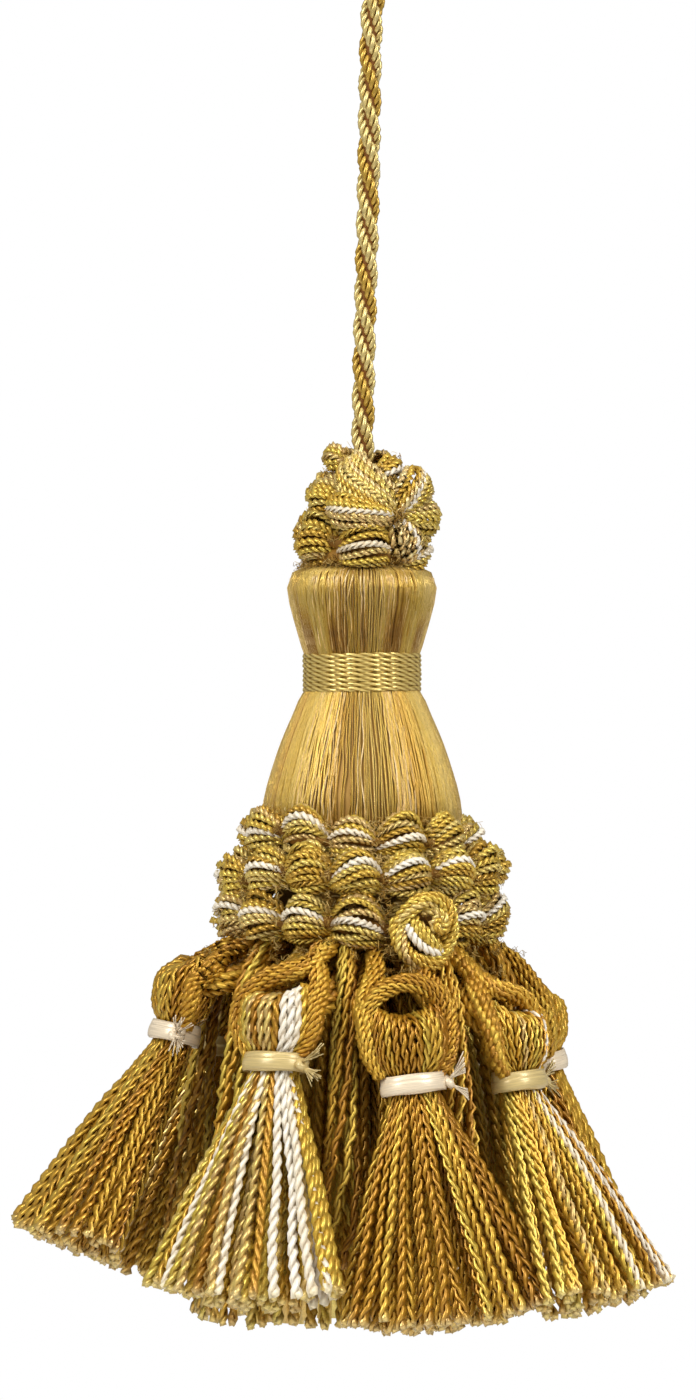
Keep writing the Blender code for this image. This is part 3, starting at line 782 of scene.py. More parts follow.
# %% Places of the puffs
chance = np.random.default_rng(32)
fluff_chance = np.random.default_rng(11)
RUFF_TILT = math.radians(7)  # the ruff dips towards +X
PUFF_ROWS = {  # name: z, inner radius, half width, half height, puffs' angles
    "ruff_row_1": (-111.2, 4.1, 3.3, 3.3, (-62, 0, 78, 115, 155, 200, 250)),
    "ruff_row_2": (-104.5, 3.0, 3.0, 2.4, (-60, 0, 66, 128, 184, 240)),
    "ruff_row_3": (-100.6, 2.4, 1.9, 1.6, (-72, -6, 66, 140, 214)),
    "collar_row_1": (
        -153.5, 13.0, 2.5, 2.8,
        (-65, -31, -6, 20, 51, 82, 112, 142, 172, 202, 232, 263),
    ),
    "collar_row_2": (
        -159.1, 15.1, 3.1, 2.9,
        (-75, -47, -25, -4, 21, 46, 69, 93, 117, 141, 165, 189, 213, 237, 261),
    ),
    "collar_row_3": (
        -165.1, 14.9, 3.4, 3.2,
        (-50, -26, -3, 25, 52, 74, 96, 120, 144, 168, 192, 216, 240, 264, 287),
    ),
}
THIN_PUFFS = {("collar_row_3", 25): 0.4}  # behind the coiled end
SET_PINCHES = {  # heights of a puff's two pinches, where they aren't left to chance
    ("ruff_row_1", -62): (-1.4, -0.3), ("ruff_row_1", 0): (-0.3, -1.6),
    ("ruff_row_2", -60): (-1.3, -1.1),
    ("collar_row_1", 51): (-0.3, -1.3), ("collar_row_1", 82): (-1.3, -1.3),
}
print("puffs in a row:", {name: len(row[-1]) for name, row in PUFF_ROWS.items()})

# %% Finishes of the gimp
pinch_thread = yarn_material(
    "pinch thread", ((0.0, DARK_AMBER), (0.4, BROWN), (1.0, TAN)), DARK_AMBER, roughness=0.7
)
fluff_fibre = yarn_material(
    "fluff", ((0.0, (0.24, 0.11, 0.01)), (0.5, (0.46, 0.28, 0.06)), (1.0, (0.70, 0.50, 0.18))),
    AMBER, roughness=0.6, metallic=0.0, specular=0.3, streaks=0.6, streak_length=0.8,
)
puff_finishes = [gimp_yarn, pinch_thread, white_yarn, fluff_fibre]
print("gimp finishes:", [m.name for m in puff_finishes])

# %% The yarns of a puff
PUFF_PINCH = 0.17
PUFF_ROUNDNESS = 0.95
PUFF_FULLNESS = 1.28  # the yarns stand this much prouder than the plain row
PUFF_TWIST = math.radians(60)  # how far the bundle turns between two pinches
PUFF_BOW = (0.9, 2.5)  # mm by which a puff bows up between its pinches
PUFF_LAP = 1.1  # mm by which a puff runs on under the next one
PUFF_POINTS = 9
PUFF_SPREAD = math.radians(104)  # the yarns reach this far round from the outside
GIMP_RADIUS = 0.6
GIMP_SPACE = 1.66 * GIMP_RADIUS  # that a yarn takes up beside its neighbours
GIMP_PITCH = 2.1
GIMP_STEPS = 4  # points in one turn of a yarn
GIMP_BACKWARD = 0.15  # share of yarns that are twisted the other way
GIMP_TONES = (0.12, 0.3, 0.42, 0.5, 0.58, 0.68, 0.8)
WHITE_RADIUS = 0.6
WHITE_OUT = 0.3  # white yarns lie over the others
WHITE_SHARE = 0.75  # of the puffs have one
PUFF_WIDER = (0.95, 1.12)
PUFF_TALLER = (0.9, 1.12)
PUFF_TURNED = (-0.6, 1.3)  # of the twist, from puff to puff
GIMP_SIZES = (0.9, 1.08)
GIMP_THIN = 0.62  # thickness of a yarn at the pinches
TALLEST = 0.6  # height in its arch at which a bowed puff is level with its pinches


def pitches(pitch, count, backward):
    """The turn of each yarn. A share of them is twisted the other way."""
    return pitch * chance.choice([-1.0, 1.0], count, p=[backward, 1 - backward])


def puff_yarns(row, reach, start, end, pinches):
    """The yarns of one puff, from one pinch to the next."""
    inner, half_width, half_height = row
    girth = half_width * reach + PUFF_FULLNESS * half_height
    count = int(PUFF_SPREAD * girth / GIMP_SPACE)
    share = np.linspace(0, 1, PUFF_POINTS)
    arch = np.sin(np.pi * share)
    section = np.linspace(-1, 1, count) + chance.uniform(-0.3, 0.3, count) / count
    section = PUFF_SPREAD * section[:, None]
    section = section + PUFF_TWIST * (share - 0.5) * chance.uniform(*PUFF_TURNED)
    section = section + chance.normal(0, 0.12, (count, 1)) * (2 * share - 1)
    swell = PUFF_PINCH + (1 - PUFF_PINCH) * arch**PUFF_ROUNDNESS
    bulge = 1 + chance.normal(0, 0.08, (count, 1)) * arch
    wide = half_width * reach * swell * chance.uniform(*PUFF_WIDER)
    tall = half_height * PUFF_FULLNESS * swell * chance.uniform(*PUFF_TALLER)
    out = inner + half_width * reach * swell + (wide * bulge - GIMP_RADIUS) * np.cos(section)
    z = (tall * bulge - GIMP_RADIUS) * np.sin(section)
    z = z + pinches[0] + (pinches[1] - pinches[0]) * share
    z = z + chance.uniform(*PUFF_BOW) * (arch - TALLEST)
    lap = math.degrees(PUFF_LAP / (inner + half_width))
    slip = chance.normal(0, 0.012, (count, 1)) * arch
    turn = np.radians(start - lap + (end - start + 2 * lap) * share) + slip
    route = twisted_routes(around(turn, out, z), GIMP_PITCH, GIMP_STEPS)
    fullness = np.sin(np.pi * np.linspace(0, 1, route.shape[1])) ** 0.4
    size = GIMP_RADIUS * (GIMP_THIN + (1 - GIMP_THIN) * fullness)
    size = size * chance.uniform(*GIMP_SIZES, (count, 1))
    tone = chance.choice(GIMP_TONES, count) + chance.uniform(-0.06, 0.06, count)
    upper = np.abs(section[:, PUFF_POINTS // 2] - chance.uniform(-0.1, 0.7))
    white = np.zeros(count, bool)
    white[np.argmin(upper)] = chance.random() < WHITE_SHARE
    size = np.where(white[:, None], size * fullness * WHITE_RADIUS / GIMP_RADIUS, size)
    route[white] += WHITE_OUT * unit(route[white] * LEVEL)
    return route, size, pitches(GIMP_PITCH, count, GIMP_BACKWARD), tone, white

# %% [markdown]
# ## What holds a puff
#
# A thread is wound tight on each pinch. The bundle's heart would be hidden if the yarns
# had no gaps, but they have, so a dark core runs through the row and swells with it; its
# dark colour is painted shade inside the bundle. Fine fibres that the winding has rubbed
# loose curl out at the pinch. Each is a bent tube, because a haze of them softens the
# outline, which a texture can't do.

# %% Pinches, hearts and fluff
PINCH_TURNS = 2.2
PINCH_THREAD = 0.17
ROW_CORE = (0.26, 0.7)  # at a pinch and in a puff, of the smaller half of the section
FLUFF_RADIUS = 0.05
hair_roots = []  # (point, direction) of places where loose fibres stand out
PINCH_CLEAR = 0.05  # of the thread's middle from the yarns
CORE_STEPS = 8  # from one pinch to the next


def pinch_ring(row, angle, shift):
    """The thread wound round a pinch."""
    inner, half_width, half_height = row
    wound = 2 * np.pi * np.linspace(0, PINCH_TURNS, int(PINCH_TURNS * 10))
    wide = half_width * PUFF_PINCH
    tall = half_height * PUFF_PINCH * PUFF_FULLNESS
    out = inner + wide + (wide + PINCH_CLEAR) * np.cos(wound)
    across = np.linspace(-0.3, 0.3, len(wound)) / (inner + wide)
    z = shift + (tall + PINCH_CLEAR) * np.sin(wound)
    return around(np.radians(angle) + across, out, z)


def row_core(row, starts, shifts):
    """The heart of a row, thick in each puff, which stops light between its yarns."""
    inner, half_width, half_height = row
    corner = np.arange(len(starts) + 1)
    place = np.linspace(0, len(starts), CORE_STEPS * len(starts) + 1)
    angle = np.interp(place, corner, np.append(starts, starts[0] + 360))
    shift = np.interp(place, corner, np.append(shifts, shifts[0]))
    swell = ROW_CORE[0] + (ROW_CORE[1] - ROW_CORE[0]) * np.sin(np.pi * place) ** 2
    line = around(np.radians(angle), inner + half_width, shift)
    return line[None], swell[None] * min(half_width, half_height)


def fluff(yarns, centres, reach, count, finish, radius=FLUFF_RADIUS):
    """Curled soft fibres in a little cloud round each centre."""
    centres = np.repeat(np.array(centres), count, axis=0)
    own = centres + reach * fluff_chance.normal(0, 0.4, centres.shape)
    points = own[:, None] + reach * fluff_chance.uniform(-0.8, 0.8, (len(own), 5, 3))
    tone = fluff_chance.random(len(own))
    yarns.add(smooth_routes(points, 6), radius, ASKEW, tone, finish=finish)

# %% [markdown]
# ## The fan on the ruff
#
# On the front of the ruff the puffs all fan out from one dark pinch at its right. Their
# yarns start together, rise, spread and turn under, so they are laid on a profile of
# heights and widths, which is then bent round the ruff's body.

# %% The fan on the ruff
FANNED_PUFFS = {("ruff_row_2", 0), ("ruff_row_2", 66), ("ruff_row_3", -6)}
FAN_ANGLE = math.radians(37)
FAN_Z = -107.4
FAN_PINCH = 8.6  # radius
FAN_PALER = 0.12
RUFF_BODY = ((-114.0, -110.0, -104.5, -100.6, -97.5), (8.6, 8.8, 7.4, 5.3, 3.4))  # z, radius
FAN = {  # direction in degrees from +X towards up, length, half width, lift, which is white
    "ruff_row_3": ((52, 8.0, 2.8, 1.0, 5),),
    "ruff_row_2": ((132, 11.0, 3.4, 0.9, None), (-2, 7.4, 2.6, 1.0, None)),
    "ruff_row_1": ((173, 10.6, 2.7, 1.1, 4), (-66, 7.0, 2.4, 1.0, 4)),
}
FAN_PROFILE = (  # share of the length, height and share of the half width
    (0.04, 0.1, 0.25), (0.25, 1.5, 0.7), (0.5, 1.9, 0.98), (0.75, 1.6, 1.0),
    (0.95, 0.2, 0.85), (1.0, -1.6, 0.7),
)
print("fanned puffs:", sum(len(some) for some in FAN.values()))


def on_ruff(x, z, high):
    """A place x round the ruff from the pinch: straight on to the right, curved to the left."""
    body = np.interp(z, *RUFF_BODY)
    turn = FAN_ANGLE + np.minimum(x, 0) / np.maximum(body, 6.2)
    radius = np.where(x > 0, FAN_PINCH, body) + high
    return around(turn, radius, z) + np.maximum(x, 0)[..., None] * sideways(turn)


def fan_puff(direction, length, half_width, lift, white_place):
    """Yarns that fan out from the pinch and turn under at their far end."""
    direction = math.radians(direction)
    count = int(2.2 * half_width / GIMP_RADIUS)
    place = np.linspace(-1, 1, count)
    rows = []
    for share, high, wide in FAN_PROFILE:
        ahead = length * (share - 0.1 * share * place**2)
        aside = wide * half_width * place
        x = ahead * math.cos(direction) - aside * math.sin(direction)
        z = FAN_Z + ahead * math.sin(direction) + aside * math.cos(direction)
        rows.append(on_ruff(x, z, lift * high * np.sqrt(1 - 0.75 * place**2) - 0.9 * place**2))
    points = np.stack(rows, axis=1)
    route = twisted_routes(points + chance.normal(0, 0.12, points.shape), GIMP_PITCH, GIMP_STEPS)
    tone = chance.choice(GIMP_TONES, count) + FAN_PALER
    white = np.arange(count) == (-1 if white_place is None else white_place)
    size = GIMP_RADIUS * np.ones((count, 1))
    return route, size, pitches(GIMP_PITCH, count, GIMP_BACKWARD), tone, white

# %% [markdown]
# ## Whole rows
#
# A row is its puffs, with a pinch between each two. The ruff's rows are tilted as one,
# since the whole ruff leans. Below the lowest one a soft roll of fluff covers the place
# where the crown's floss comes out.

# %% Rows of puffs
PUFF_GUIDE = (0.0, 0.05, 1.0)
PINCH_SHIFT = 0.75  # how uneven the pinches' heights are
FLUFF_AT_A_PINCH = 7
FLUFF_OUT = {"ruff": 1.2, "coll": 1.4}  # of a row's half width, out from its inner side
HAIR_HEIGHTS = (-0.9, 0.0, 0.9)  # of the row's half height
FLUFF_REACH = 0.9
ROLL_RADIUS = 6.8  # of the roll below the ruff
ROLL_Z = -113.2
ROLL_SIZE = 1.4
ROLL_CLOUDS = ((8.0, -113.2), (8.3, -114.1))  # radius, z


def puffed_row(name):
    """All the puffs of one row, with what holds them."""
    row_z, *row, angles = PUFF_ROWS[name]
    inner, half_width, half_height = row
    tilt = RUFF_TILT if name.startswith("ruff") else 0.0
    angles = np.array(angles, float)
    count = len(angles)
    starts = (np.append(angles[-1] - 360, angles[:-1]) + angles) / 2
    ends = np.append(starts[1:], starts[0] + 360)
    shifts = PINCH_SHIFT * chance.normal(0, 1, count)
    for i, angle in enumerate(angles):
        if (name, angle) in SET_PINCHES:
            shifts[[i, (i + 1) % count]] = SET_PINCHES[name, angle]

    def tilted(points):
        """Turns the row about the Y axis and puts it at its height."""
        x, y, z = np.moveaxis(points, -1, 0)
        turned = x * math.cos(tilt) + z * math.sin(tilt)
        return np.stack([turned, y, z * math.cos(tilt) - x * math.sin(tilt) + row_z], axis=-1)

    yarns = Yarns()
    core, thick = row_core(row, starts, shifts)
    # The row's heart is dark: painted shade inside the bundle.
    yarns.add(tilted(core), thick, UP, 0.15, sides=8, finish=1)
    soft_spots = []
    for i, angle in enumerate(angles):
        if (name, angle) not in FANNED_PUFFS:
            reach = THIN_PUFFS.get((name, angle), 1.0)
            pinches = shifts[i], shifts[(i + 1) % count]
            route, *made = puff_yarns(row, reach, starts[i], ends[i], pinches)
            yarns.add_mixed(tilted(route), *made, PUFF_GUIDE, 2)
        start = np.radians(starts[i])
        ring = tilted(pinch_ring(row, starts[i], shifts[i]))[None]
        across = around(np.radians(starts[i] + 90), 1.0, 0.0)
        yarns.add(ring, PINCH_THREAD, across, 0.4, sides=4, finish=1)
        out = around(start, inner + FLUFF_OUT[name[:4]] * half_width, shifts[i])
        for height in HAIR_HEIGHTS:
            spot = tilted(out + height * half_height * UP)
            soft_spots.append(spot)
            hair_roots.append((spot, unit(out * LEVEL)))
        under = around(np.radians(angle), inner + 1.45 * half_width, -1.3 * half_height)
        soft_spots.append(tilted(under))
    for fan in FAN.get(name, ()):
        yarns.add_mixed(*fan_puff(*fan), PUFF_GUIDE, 2)
        soft_spots += [around(FAN_ANGLE, FAN_PINCH + 0.4, FAN_Z)] * 2
    fluff(yarns, soft_spots, FLUFF_REACH, FLUFF_AT_A_PINCH, 3)
    if name == "ruff_row_1":
        below = np.radians(np.arange(0, 361, 10))
        for out, high in ROLL_CLOUDS:
            fluff(yarns, around(below[:-1], out, high), 0.6, FLUFF_AT_A_PINCH, 3)
        roll = around(below, ROLL_RADIUS, ROLL_Z)[None]
        yarns.add(roll, ROLL_SIZE, UP, 0.0, sides=8, finish=3)
    return yarns


for name in PUFF_ROWS:
    puffed_row(name).piece(name.replace("row", "yarns"), puff_finishes, "gimp_yarn", [name])
hair_roots.append((around(FAN_ANGLE, 9.4, FAN_Z), around(FAN_ANGLE, 1.0, 0.0)))

# %% [markdown]
# ## The coiled end
#
# The end of the gimp is rolled up like a flower and tucked into the lowest row: a thick
# arc over the top, a crescent below it with a white yarn, and a small ball between.
# It is made of the same bundles, so the helper for a bundle comes here.

# %% Bundles of yarns
chance = np.random.default_rng(5)
BUNDLE_YARN = 0.6


def bundle(
    yarns, route, guide, reach, count, lay, tones, radius=BUNDLE_YARN, pitch=GIMP_PITCH,
    white=None, sides=3,
):
    """Yarns that turn slowly about one middle line, a whole turn in each lay."""
    walked = distances(route)
    first, second = side_frames(route, guide)
    start = chance.uniform(0, 1)
    for k in range(count):
        turn = 2 * np.pi * (start + k / count + walked / lay + 0.02 * np.sin(walked + k))
        away = (reach - radius) * (1 + 0.1 * np.sin(1.9 * walked + 2.1 * k))
        out = np.cos(turn)[..., None] * first + np.sin(turn)[..., None] * second
        shade = chance.uniform(*tones)
        finish = 2 if k == white else 0
        line = route + away[..., None] * out
        yarns.add_plied(line, radius, pitch, guide, shade, sides=sides, finish=finish)

# %% Coiled end
KNOT_ANGLE = math.radians(25)
KNOT_BACK = 19.75  # radius of its middle
KNOT_Z = -166.0
KNOT_SIZE = 0.88
KNOT_LAY = 16.0
KNOT_WHITE = 0.75  # radius of the white yarn
KNOT_ARCS = (  # points (sideways, up, outward), reach, yarns, which one is white
    (
        ((-4.2, 1.0, 0.6), (-3.5, 2.9, 1.5), (-1.4, 4.6, 2.1), (1.2, 4.9, 2.3),
         (3.4, 3.6, 2.2), (4.2, 1.0, 1.9), (4.1, -1.8, 1.4), (3.0, -4.0, 0.9)),
        1.35, 5, None,
    ),
    (
        ((-4.3, 1.8, 0.0), (-4.5, -1.2, 1.0), (-3.5, -3.7, 1.7), (-1.0, -5.2, 2.0),
         (1.8, -4.9, 1.7), (3.8, -3.0, 0.8)),
        1.4, 6, None,
    ),
    (
        ((-3.2, 0.9, 1.4), (-2.7, -0.9, 2.3), (-1.2, -2.6, 2.7), (0.9, -3.5, 2.6),
         (2.6, -3.4, 1.8)),
        0.75, 1, 0,
    ),
    (
        ((-2.3, 2.0, 0.9), (-1.9, 0.9, 1.8), (-0.5, -0.8, 2.3), (1.0, -2.2, 2.2),
         (2.2, -3.2, 1.3)),
        1.2, 5, None,
    ),
    (
        ((-0.6, 3.0, 1.2), (1.1, 3.2, 2.0), (2.6, 2.2, 2.6), (2.7, 0.8, 2.9), (1.4, 0.1, 3.0),
         (0.6, 1.1, 3.1), (1.5, 1.8, 3.2)),
        1.0, 4, None,
    ),
)


def coiled_end():
    yarns = Yarns()
    centre = around(KNOT_ANGLE, KNOT_BACK, KNOT_Z)
    side = sideways(KNOT_ANGLE)
    out = around(KNOT_ANGLE, 1.0, 0.0)
    for points, reach, count, white in KNOT_ARCS:
        points = np.array(points)
        line = KNOT_SIZE * (points[:, :1] * side + points[:, 1:2] * UP) + points[:, 2:] * out
        route = twisted_routes(centre + line, GIMP_PITCH, 4.5)
        radius = BUNDLE_YARN if white is None else KNOT_WHITE
        bundle(yarns, route, out, reach, count, KNOT_LAY, (0.2, 0.8), radius, white=white, sides=4)
    fluff(yarns, [centre, centre - 4.0 * side - 3.0 * UP], 1.6, 8, 3)
    hair_roots.append((centre + 2.5 * out, out))
    return yarns


coiled_end().piece("coiled_end", puff_finishes, "gimp_yarn", ["collar_knot"])

# %% [markdown]
# ## The hanger loops
#
# Each small tassel hangs on a loop of its own: a bundle of soft yarns that comes from
# under the collar, goes round in a U and back, on the solid's route. Two more bundles
# frame the head and end in the tie; some are swept over the head from the other side, and
# two heads have a bundle arched over them. A slack bundle fills the gap before the next
# tassel. All are the helper's bundles, because real ones differ only in their line.

# %% Where the tassels hang
TASSELS = (  # number, angle, tie's radius and z, tilt out, lean, skirt's kick, hem half width
    ("1", -74, 27.8, -181.2, 14, 0, 8.5, 13.2),
    ("2", -27, 27.0, -184.5, 8, 0, 5.0, 12.6),
    ("3", 14, 27.0, -187.4, 6, 5, 4.0, 12.6),
    ("4", 56, 26.8, -187.6, 8, 0, 10.5, 11.8),
    ("5", 100, 26.4, -185.8, 8, 0, 4.5, 12.6),
    ("6", 147, 27.0, -184.0, 8, 0, 6.5, 13.0),
    ("7", 192, 27.0, -186.4, 7, 0, 5.0, 12.8),
    ("8", 237, 27.0, -183.8, 8, 0, 4.5, 12.4),
)
TIE_DROP = 6.65  # from the loop's yarn to the tie
print("tassels at:", [row[1] for row in TASSELS], "degrees")

# %% The line of a loop
LOOP_ARM = ((11.4, -163.7), (12.6, -168.6), (16.6, -172.3))  # (radius, z)
LOOP_TOP_HALF_ANGLE = math.radians(11.2)
LOOP_HALF_WIDTH = 5.5
LOOP_RADIUS_TOP = 1.7
LOOP_RADIUS = 2.0


def loop_route(angle, radius, z):
    """The middle line of a loop, and the direction across its plane."""
    arm = []
    for arm_radius, arm_z in LOOP_ARM:
        spread = arm_radius * math.sin(LOOP_TOP_HALF_ANGLE)
        arm.append((spread, arm_radius * math.cos(LOOP_TOP_HALF_ANGLE), arm_z))
    foot = np.array([0.0, radius, z])
    down = unit((foot - arm[-1]) * (0, 1, 1))
    for turn in (0, math.pi / 4):
        across, above = LOOP_HALF_WIDTH * math.cos(turn), LOOP_HALF_WIDTH * (1 - math.sin(turn))
        arm.append(foot + across * ACROSS - above * down)
    arm = np.array(arm)
    rows = np.concatenate([arm, foot[None], arm[::-1] * (-1, 1, 1)])
    points = around(angle, rows[:, 1], rows[:, 2]) + rows[:, :1] * sideways(angle)
    return points, around(angle, -down[2], down[1])

# %% Loops, arms and slack bundles
loop_yarn = yarn_material(
    "loop yarn", ((0.0, BROWN), (0.25, DEEP_GOLD), (0.5, GOLD), (0.75, OLIVE), (1.0, TAN)),
    AMBER, roughness=0.42,
)
LOOP_YARNS = 6
LOOP_YARN = (0.78, 2.9)  # radius and pitch of a yarn
LOOP_STEPS = 66
LOOP_LAY = 34.0
ARM_HALF_WIDTH = 6.0  # of the bundles that frame a head
ARM_RADIUS = 1.7
ARM_YARNS = 7
ARM_YARN_PITCH = 2.4
ARM_STEPS = 44
ARM_LAY = 30.0
ARM_UNDER_COLLAR = (13.4, -166.0)  # radius, z
ARM = (  # sideways (of the half width), up and outward from the loop's foot
    (0.55, 9.0, -5.4), (0.93, 5.0, -1.9), (1.0, 0.8, 0.2), (0.93, -2.6, 0.7), (0.64, -5.4, 0.9),
)
SWEPT_ARM = (  # one that comes over the head from the other side
    (-0.62, 7.4, -2.6), (0.25, 5.4, 0.0), (0.84, 2.2, 0.8), (0.98, -1.8, 0.9), (0.66, -5.4, 0.9),
)
ARM_CEILING = (-169.8, -172.3)  # its first two points stay below the collar
SWEPT_WAY = {"2": -1, "4": 1, "6": -1, "8": 1}
ARCHED = ("3", "7")  # heads with a bundle arched over them from arm to arm
ARCH = (
    (-0.95, 2.6, -0.6), (-0.82, 5.2, -0.4), (-0.4, 7.2, -0.2), (0.0, 7.7, 0.0),
    (0.4, 7.2, -0.2), (0.82, 5.2, -0.4), (0.95, 2.6, -0.6),
)
ARCH_STEPS = 34
ARCH_LAY = 26.0
SLACK = (  # (radius, z)
    (15.2, -166.2), (19.2, -170.2), (22.0, -177.0), (23.6, -189.0), (24.8, -201.0),
    (25.8, -213.0),
)
SLACK_YARNS = 6
SLACK_STEPS = 46
SLACK_LAY = 70.0
HAIR_PLACES = (0.12, 0.25, 0.4, 0.5, 0.6, 0.75, 0.88)  # along a loop
ARM_TONES = {1: (0.0, 0.38), -1: (0.05, 0.5)}
ARM_STARTS = (1.8, -4.5)  # sideways under the collar, of a plain and of a swept arm
ARM_YARN = 0.7
ARCH_REACH = 1.5
ARCH_YARNS = 7
SLACK_YARN = (0.66, 4.0)  # radius and pitch
SLACK_REACH = (1.5, 3.7)  # at its top and at its foot
CLOUD_TOP = 9.0  # above the loop's foot, unless the collar is lower
CLOUDS_ACROSS = (-2.2, 0.0, 2.2)
CLOUD_BACK = -3.4
CLOUD_FIBRE = 0.035


def hanger_loop(number, angle, radius, z, slack_angle):
    """A loop, the arms that frame its head and the slack bundle beside it."""
    points, guide = loop_route(angle, radius, z)
    route = smooth_routes(points, LOOP_STEPS)
    walked = distances(route)
    share = np.sin(np.pi * walked / walked[:, -1:])
    reach = LOOP_RADIUS_TOP + (LOOP_RADIUS - LOOP_RADIUS_TOP) * share
    yarns = Yarns()
    bundle(yarns, route, guide, reach, LOOP_YARNS, LOOP_LAY, (0.0, 0.45), *LOOP_YARN)

    side, out, foot = sideways(angle), around(angle, 1.0, 0.0), around(angle, radius, z)

    def place(aside, above, outward):
        return foot + aside * side + above * UP + outward * out

    for way in (-1, 1):
        swept = SWEPT_WAY.get(number) == way
        arm = [around(angle, *ARM_UNDER_COLLAR) + ARM_STARTS[swept] * way * side]
        for i, (aside, above, outward) in enumerate(SWEPT_ARM if swept else ARM):
            if i < len(ARM_CEILING):
                above = min(above, ARM_CEILING[i] - z)
            arm.append(place(aside * ARM_HALF_WIDTH * way, above, outward))
        line = smooth_routes(arm, ARM_STEPS)
        swell = ARM_RADIUS * np.sin(np.pi * np.linspace(0.16, 0.8, ARM_STEPS)) ** 0.6
        count, lay, tones = ARM_YARNS + swept, ARM_LAY * way, ARM_TONES[way]
        bundle(yarns, line, out, swell[None], count, lay, tones, ARM_YARN, ARM_YARN_PITCH)
    if number in ARCHED:
        arch = [place(x * ARM_HALF_WIDTH, above, y) for x, above, y in ARCH]
        line = smooth_routes(arch, ARCH_STEPS)
        tones = (0.1, 0.7)
        bundle(yarns, line, out, ARCH_REACH, ARCH_YARNS, ARCH_LAY, tones, pitch=ARM_YARN_PITCH)

    # Soft fibre stands up between the arms, over the head.
    top = min(CLOUD_TOP, ARM_CEILING[0] - z)
    heights = (top, top - 1.4) if number in ARCHED else (top, top - 1.8, top - 3.6)
    clouds = [place(x, above, CLOUD_BACK) for x in CLOUDS_ACROSS for above in heights]
    fluff(yarns, clouds, 0.85, 6, 1, CLOUD_FIBRE)

    line = smooth_routes([around(slack_angle, *spot) for spot in SLACK], SLACK_STEPS)
    wider = np.linspace(0, 1, SLACK_STEPS)[None] ** 1.5
    reach = SLACK_REACH[0] + (SLACK_REACH[1] - SLACK_REACH[0]) * wider
    beside = around(slack_angle, 1.0, 0.0)
    bundle(yarns, line, beside, reach, SLACK_YARNS, SLACK_LAY, (0.0, 0.7), *SLACK_YARN)
    for share in HAIR_PLACES:
        at = route[0, int(share * LOOP_STEPS)]
        hair_roots.append((at, unit(at * LEVEL)))
    return yarns

# %% [markdown]
# ## The small tassels
#
# A tassel is made by folding a hank of yarns over its loop and tying it just below. So
# each yarn is one long U: up the front of the skirt, in under the tie, out round the
# head, over the loop and down the back. More yarns fill the middle of the skirt, and they
# are held inside the tie; the white ones of them lie in front. Every yarn gets thicker
# towards the hem, where its twist relaxes. All is laid in the tassel's own frame, with X
# across, -Y outward and the loop's yarn at zero, and is then turned and moved to its place.

# %% Yarns of a skirt
WAIST = np.array((3.35, 2.4))
WAIST_Z = -6.65
ROOT_Z = -9.6
SKIRT_LENGTH = 31.4
SKIRT_DEPTH = 6.2
SKIRT_CURVE = 0.85
SKIRT_YARN = 0.64
SKIRT_PITCH = 4.2
HEM_SWELL = 0.26  # by how much of itself a yarn is thicker at the hem
HEM_SPREAD = 1.2
HEM_UNEVEN = 0.25
SKIRT_SHARES = (0.1, 0.3, 0.5, 0.75, 1.0)  # of the length, at which points are set
print("skirt, mm:", SKIRT_LENGTH, "long, spread to", [row[-1] for row in TASSELS])


def skirt_points(x, y, kick, hem_half_width):
    """Points down the skirt for yarns at places across (-1..1) and through (-1..1) it."""
    count = len(x)
    start = WAIST * np.stack([x, y], axis=-1)
    end = np.stack([HEM_SPREAD * hem_half_width * x, SKIRT_DEPTH * y - kick], axis=-1)
    away = np.hypot(*(end - start).T)
    drop = np.sqrt(SKIRT_LENGTH**2 - away**2) + chance.normal(0, HEM_UNEVEN, count)
    stray = chance.normal(0, 1.0, (count, 2)) * (0.7, 0.6)
    points = []
    for share in SKIRT_SHARES:
        sway = 0.45 * math.sin(math.pi * share) + 0.55 * share
        wave = 0.28 * share * chance.normal(0, 1, (count, 2))
        level = start + (end - start) * share**SKIRT_CURVE + stray * sway + wave
        points.append(np.column_stack([level, ROOT_Z - drop * share]))
    return points


def skirt_size(route):
    """A yarn's radius, which grows as its twist relaxes towards the hem."""
    return SKIRT_YARN * (1 + HEM_SWELL * np.clip((ROOT_Z - route[..., 2]) / SKIRT_LENGTH, 0, 1))

# %% Folded yarns
HEAD = np.array((5.3, 4.0))  # half width and half depth of the head, to the yarns' middles
HEAD_TOP = (4.2, 4.9, 3.6)  # half width over the loop, then half width and half depth beside it
FOLDED_YARNS = 14
FOLDED_TO = 80  # degrees to which they reach round the head, each way
HEAD_SHOULDER = (0.91, 0.9)  # of its half width and depth, half way down
HEAD_HEIGHTS = (-8.2, WAIST_Z + 1.4, -3.2, -0.6, 1.6)


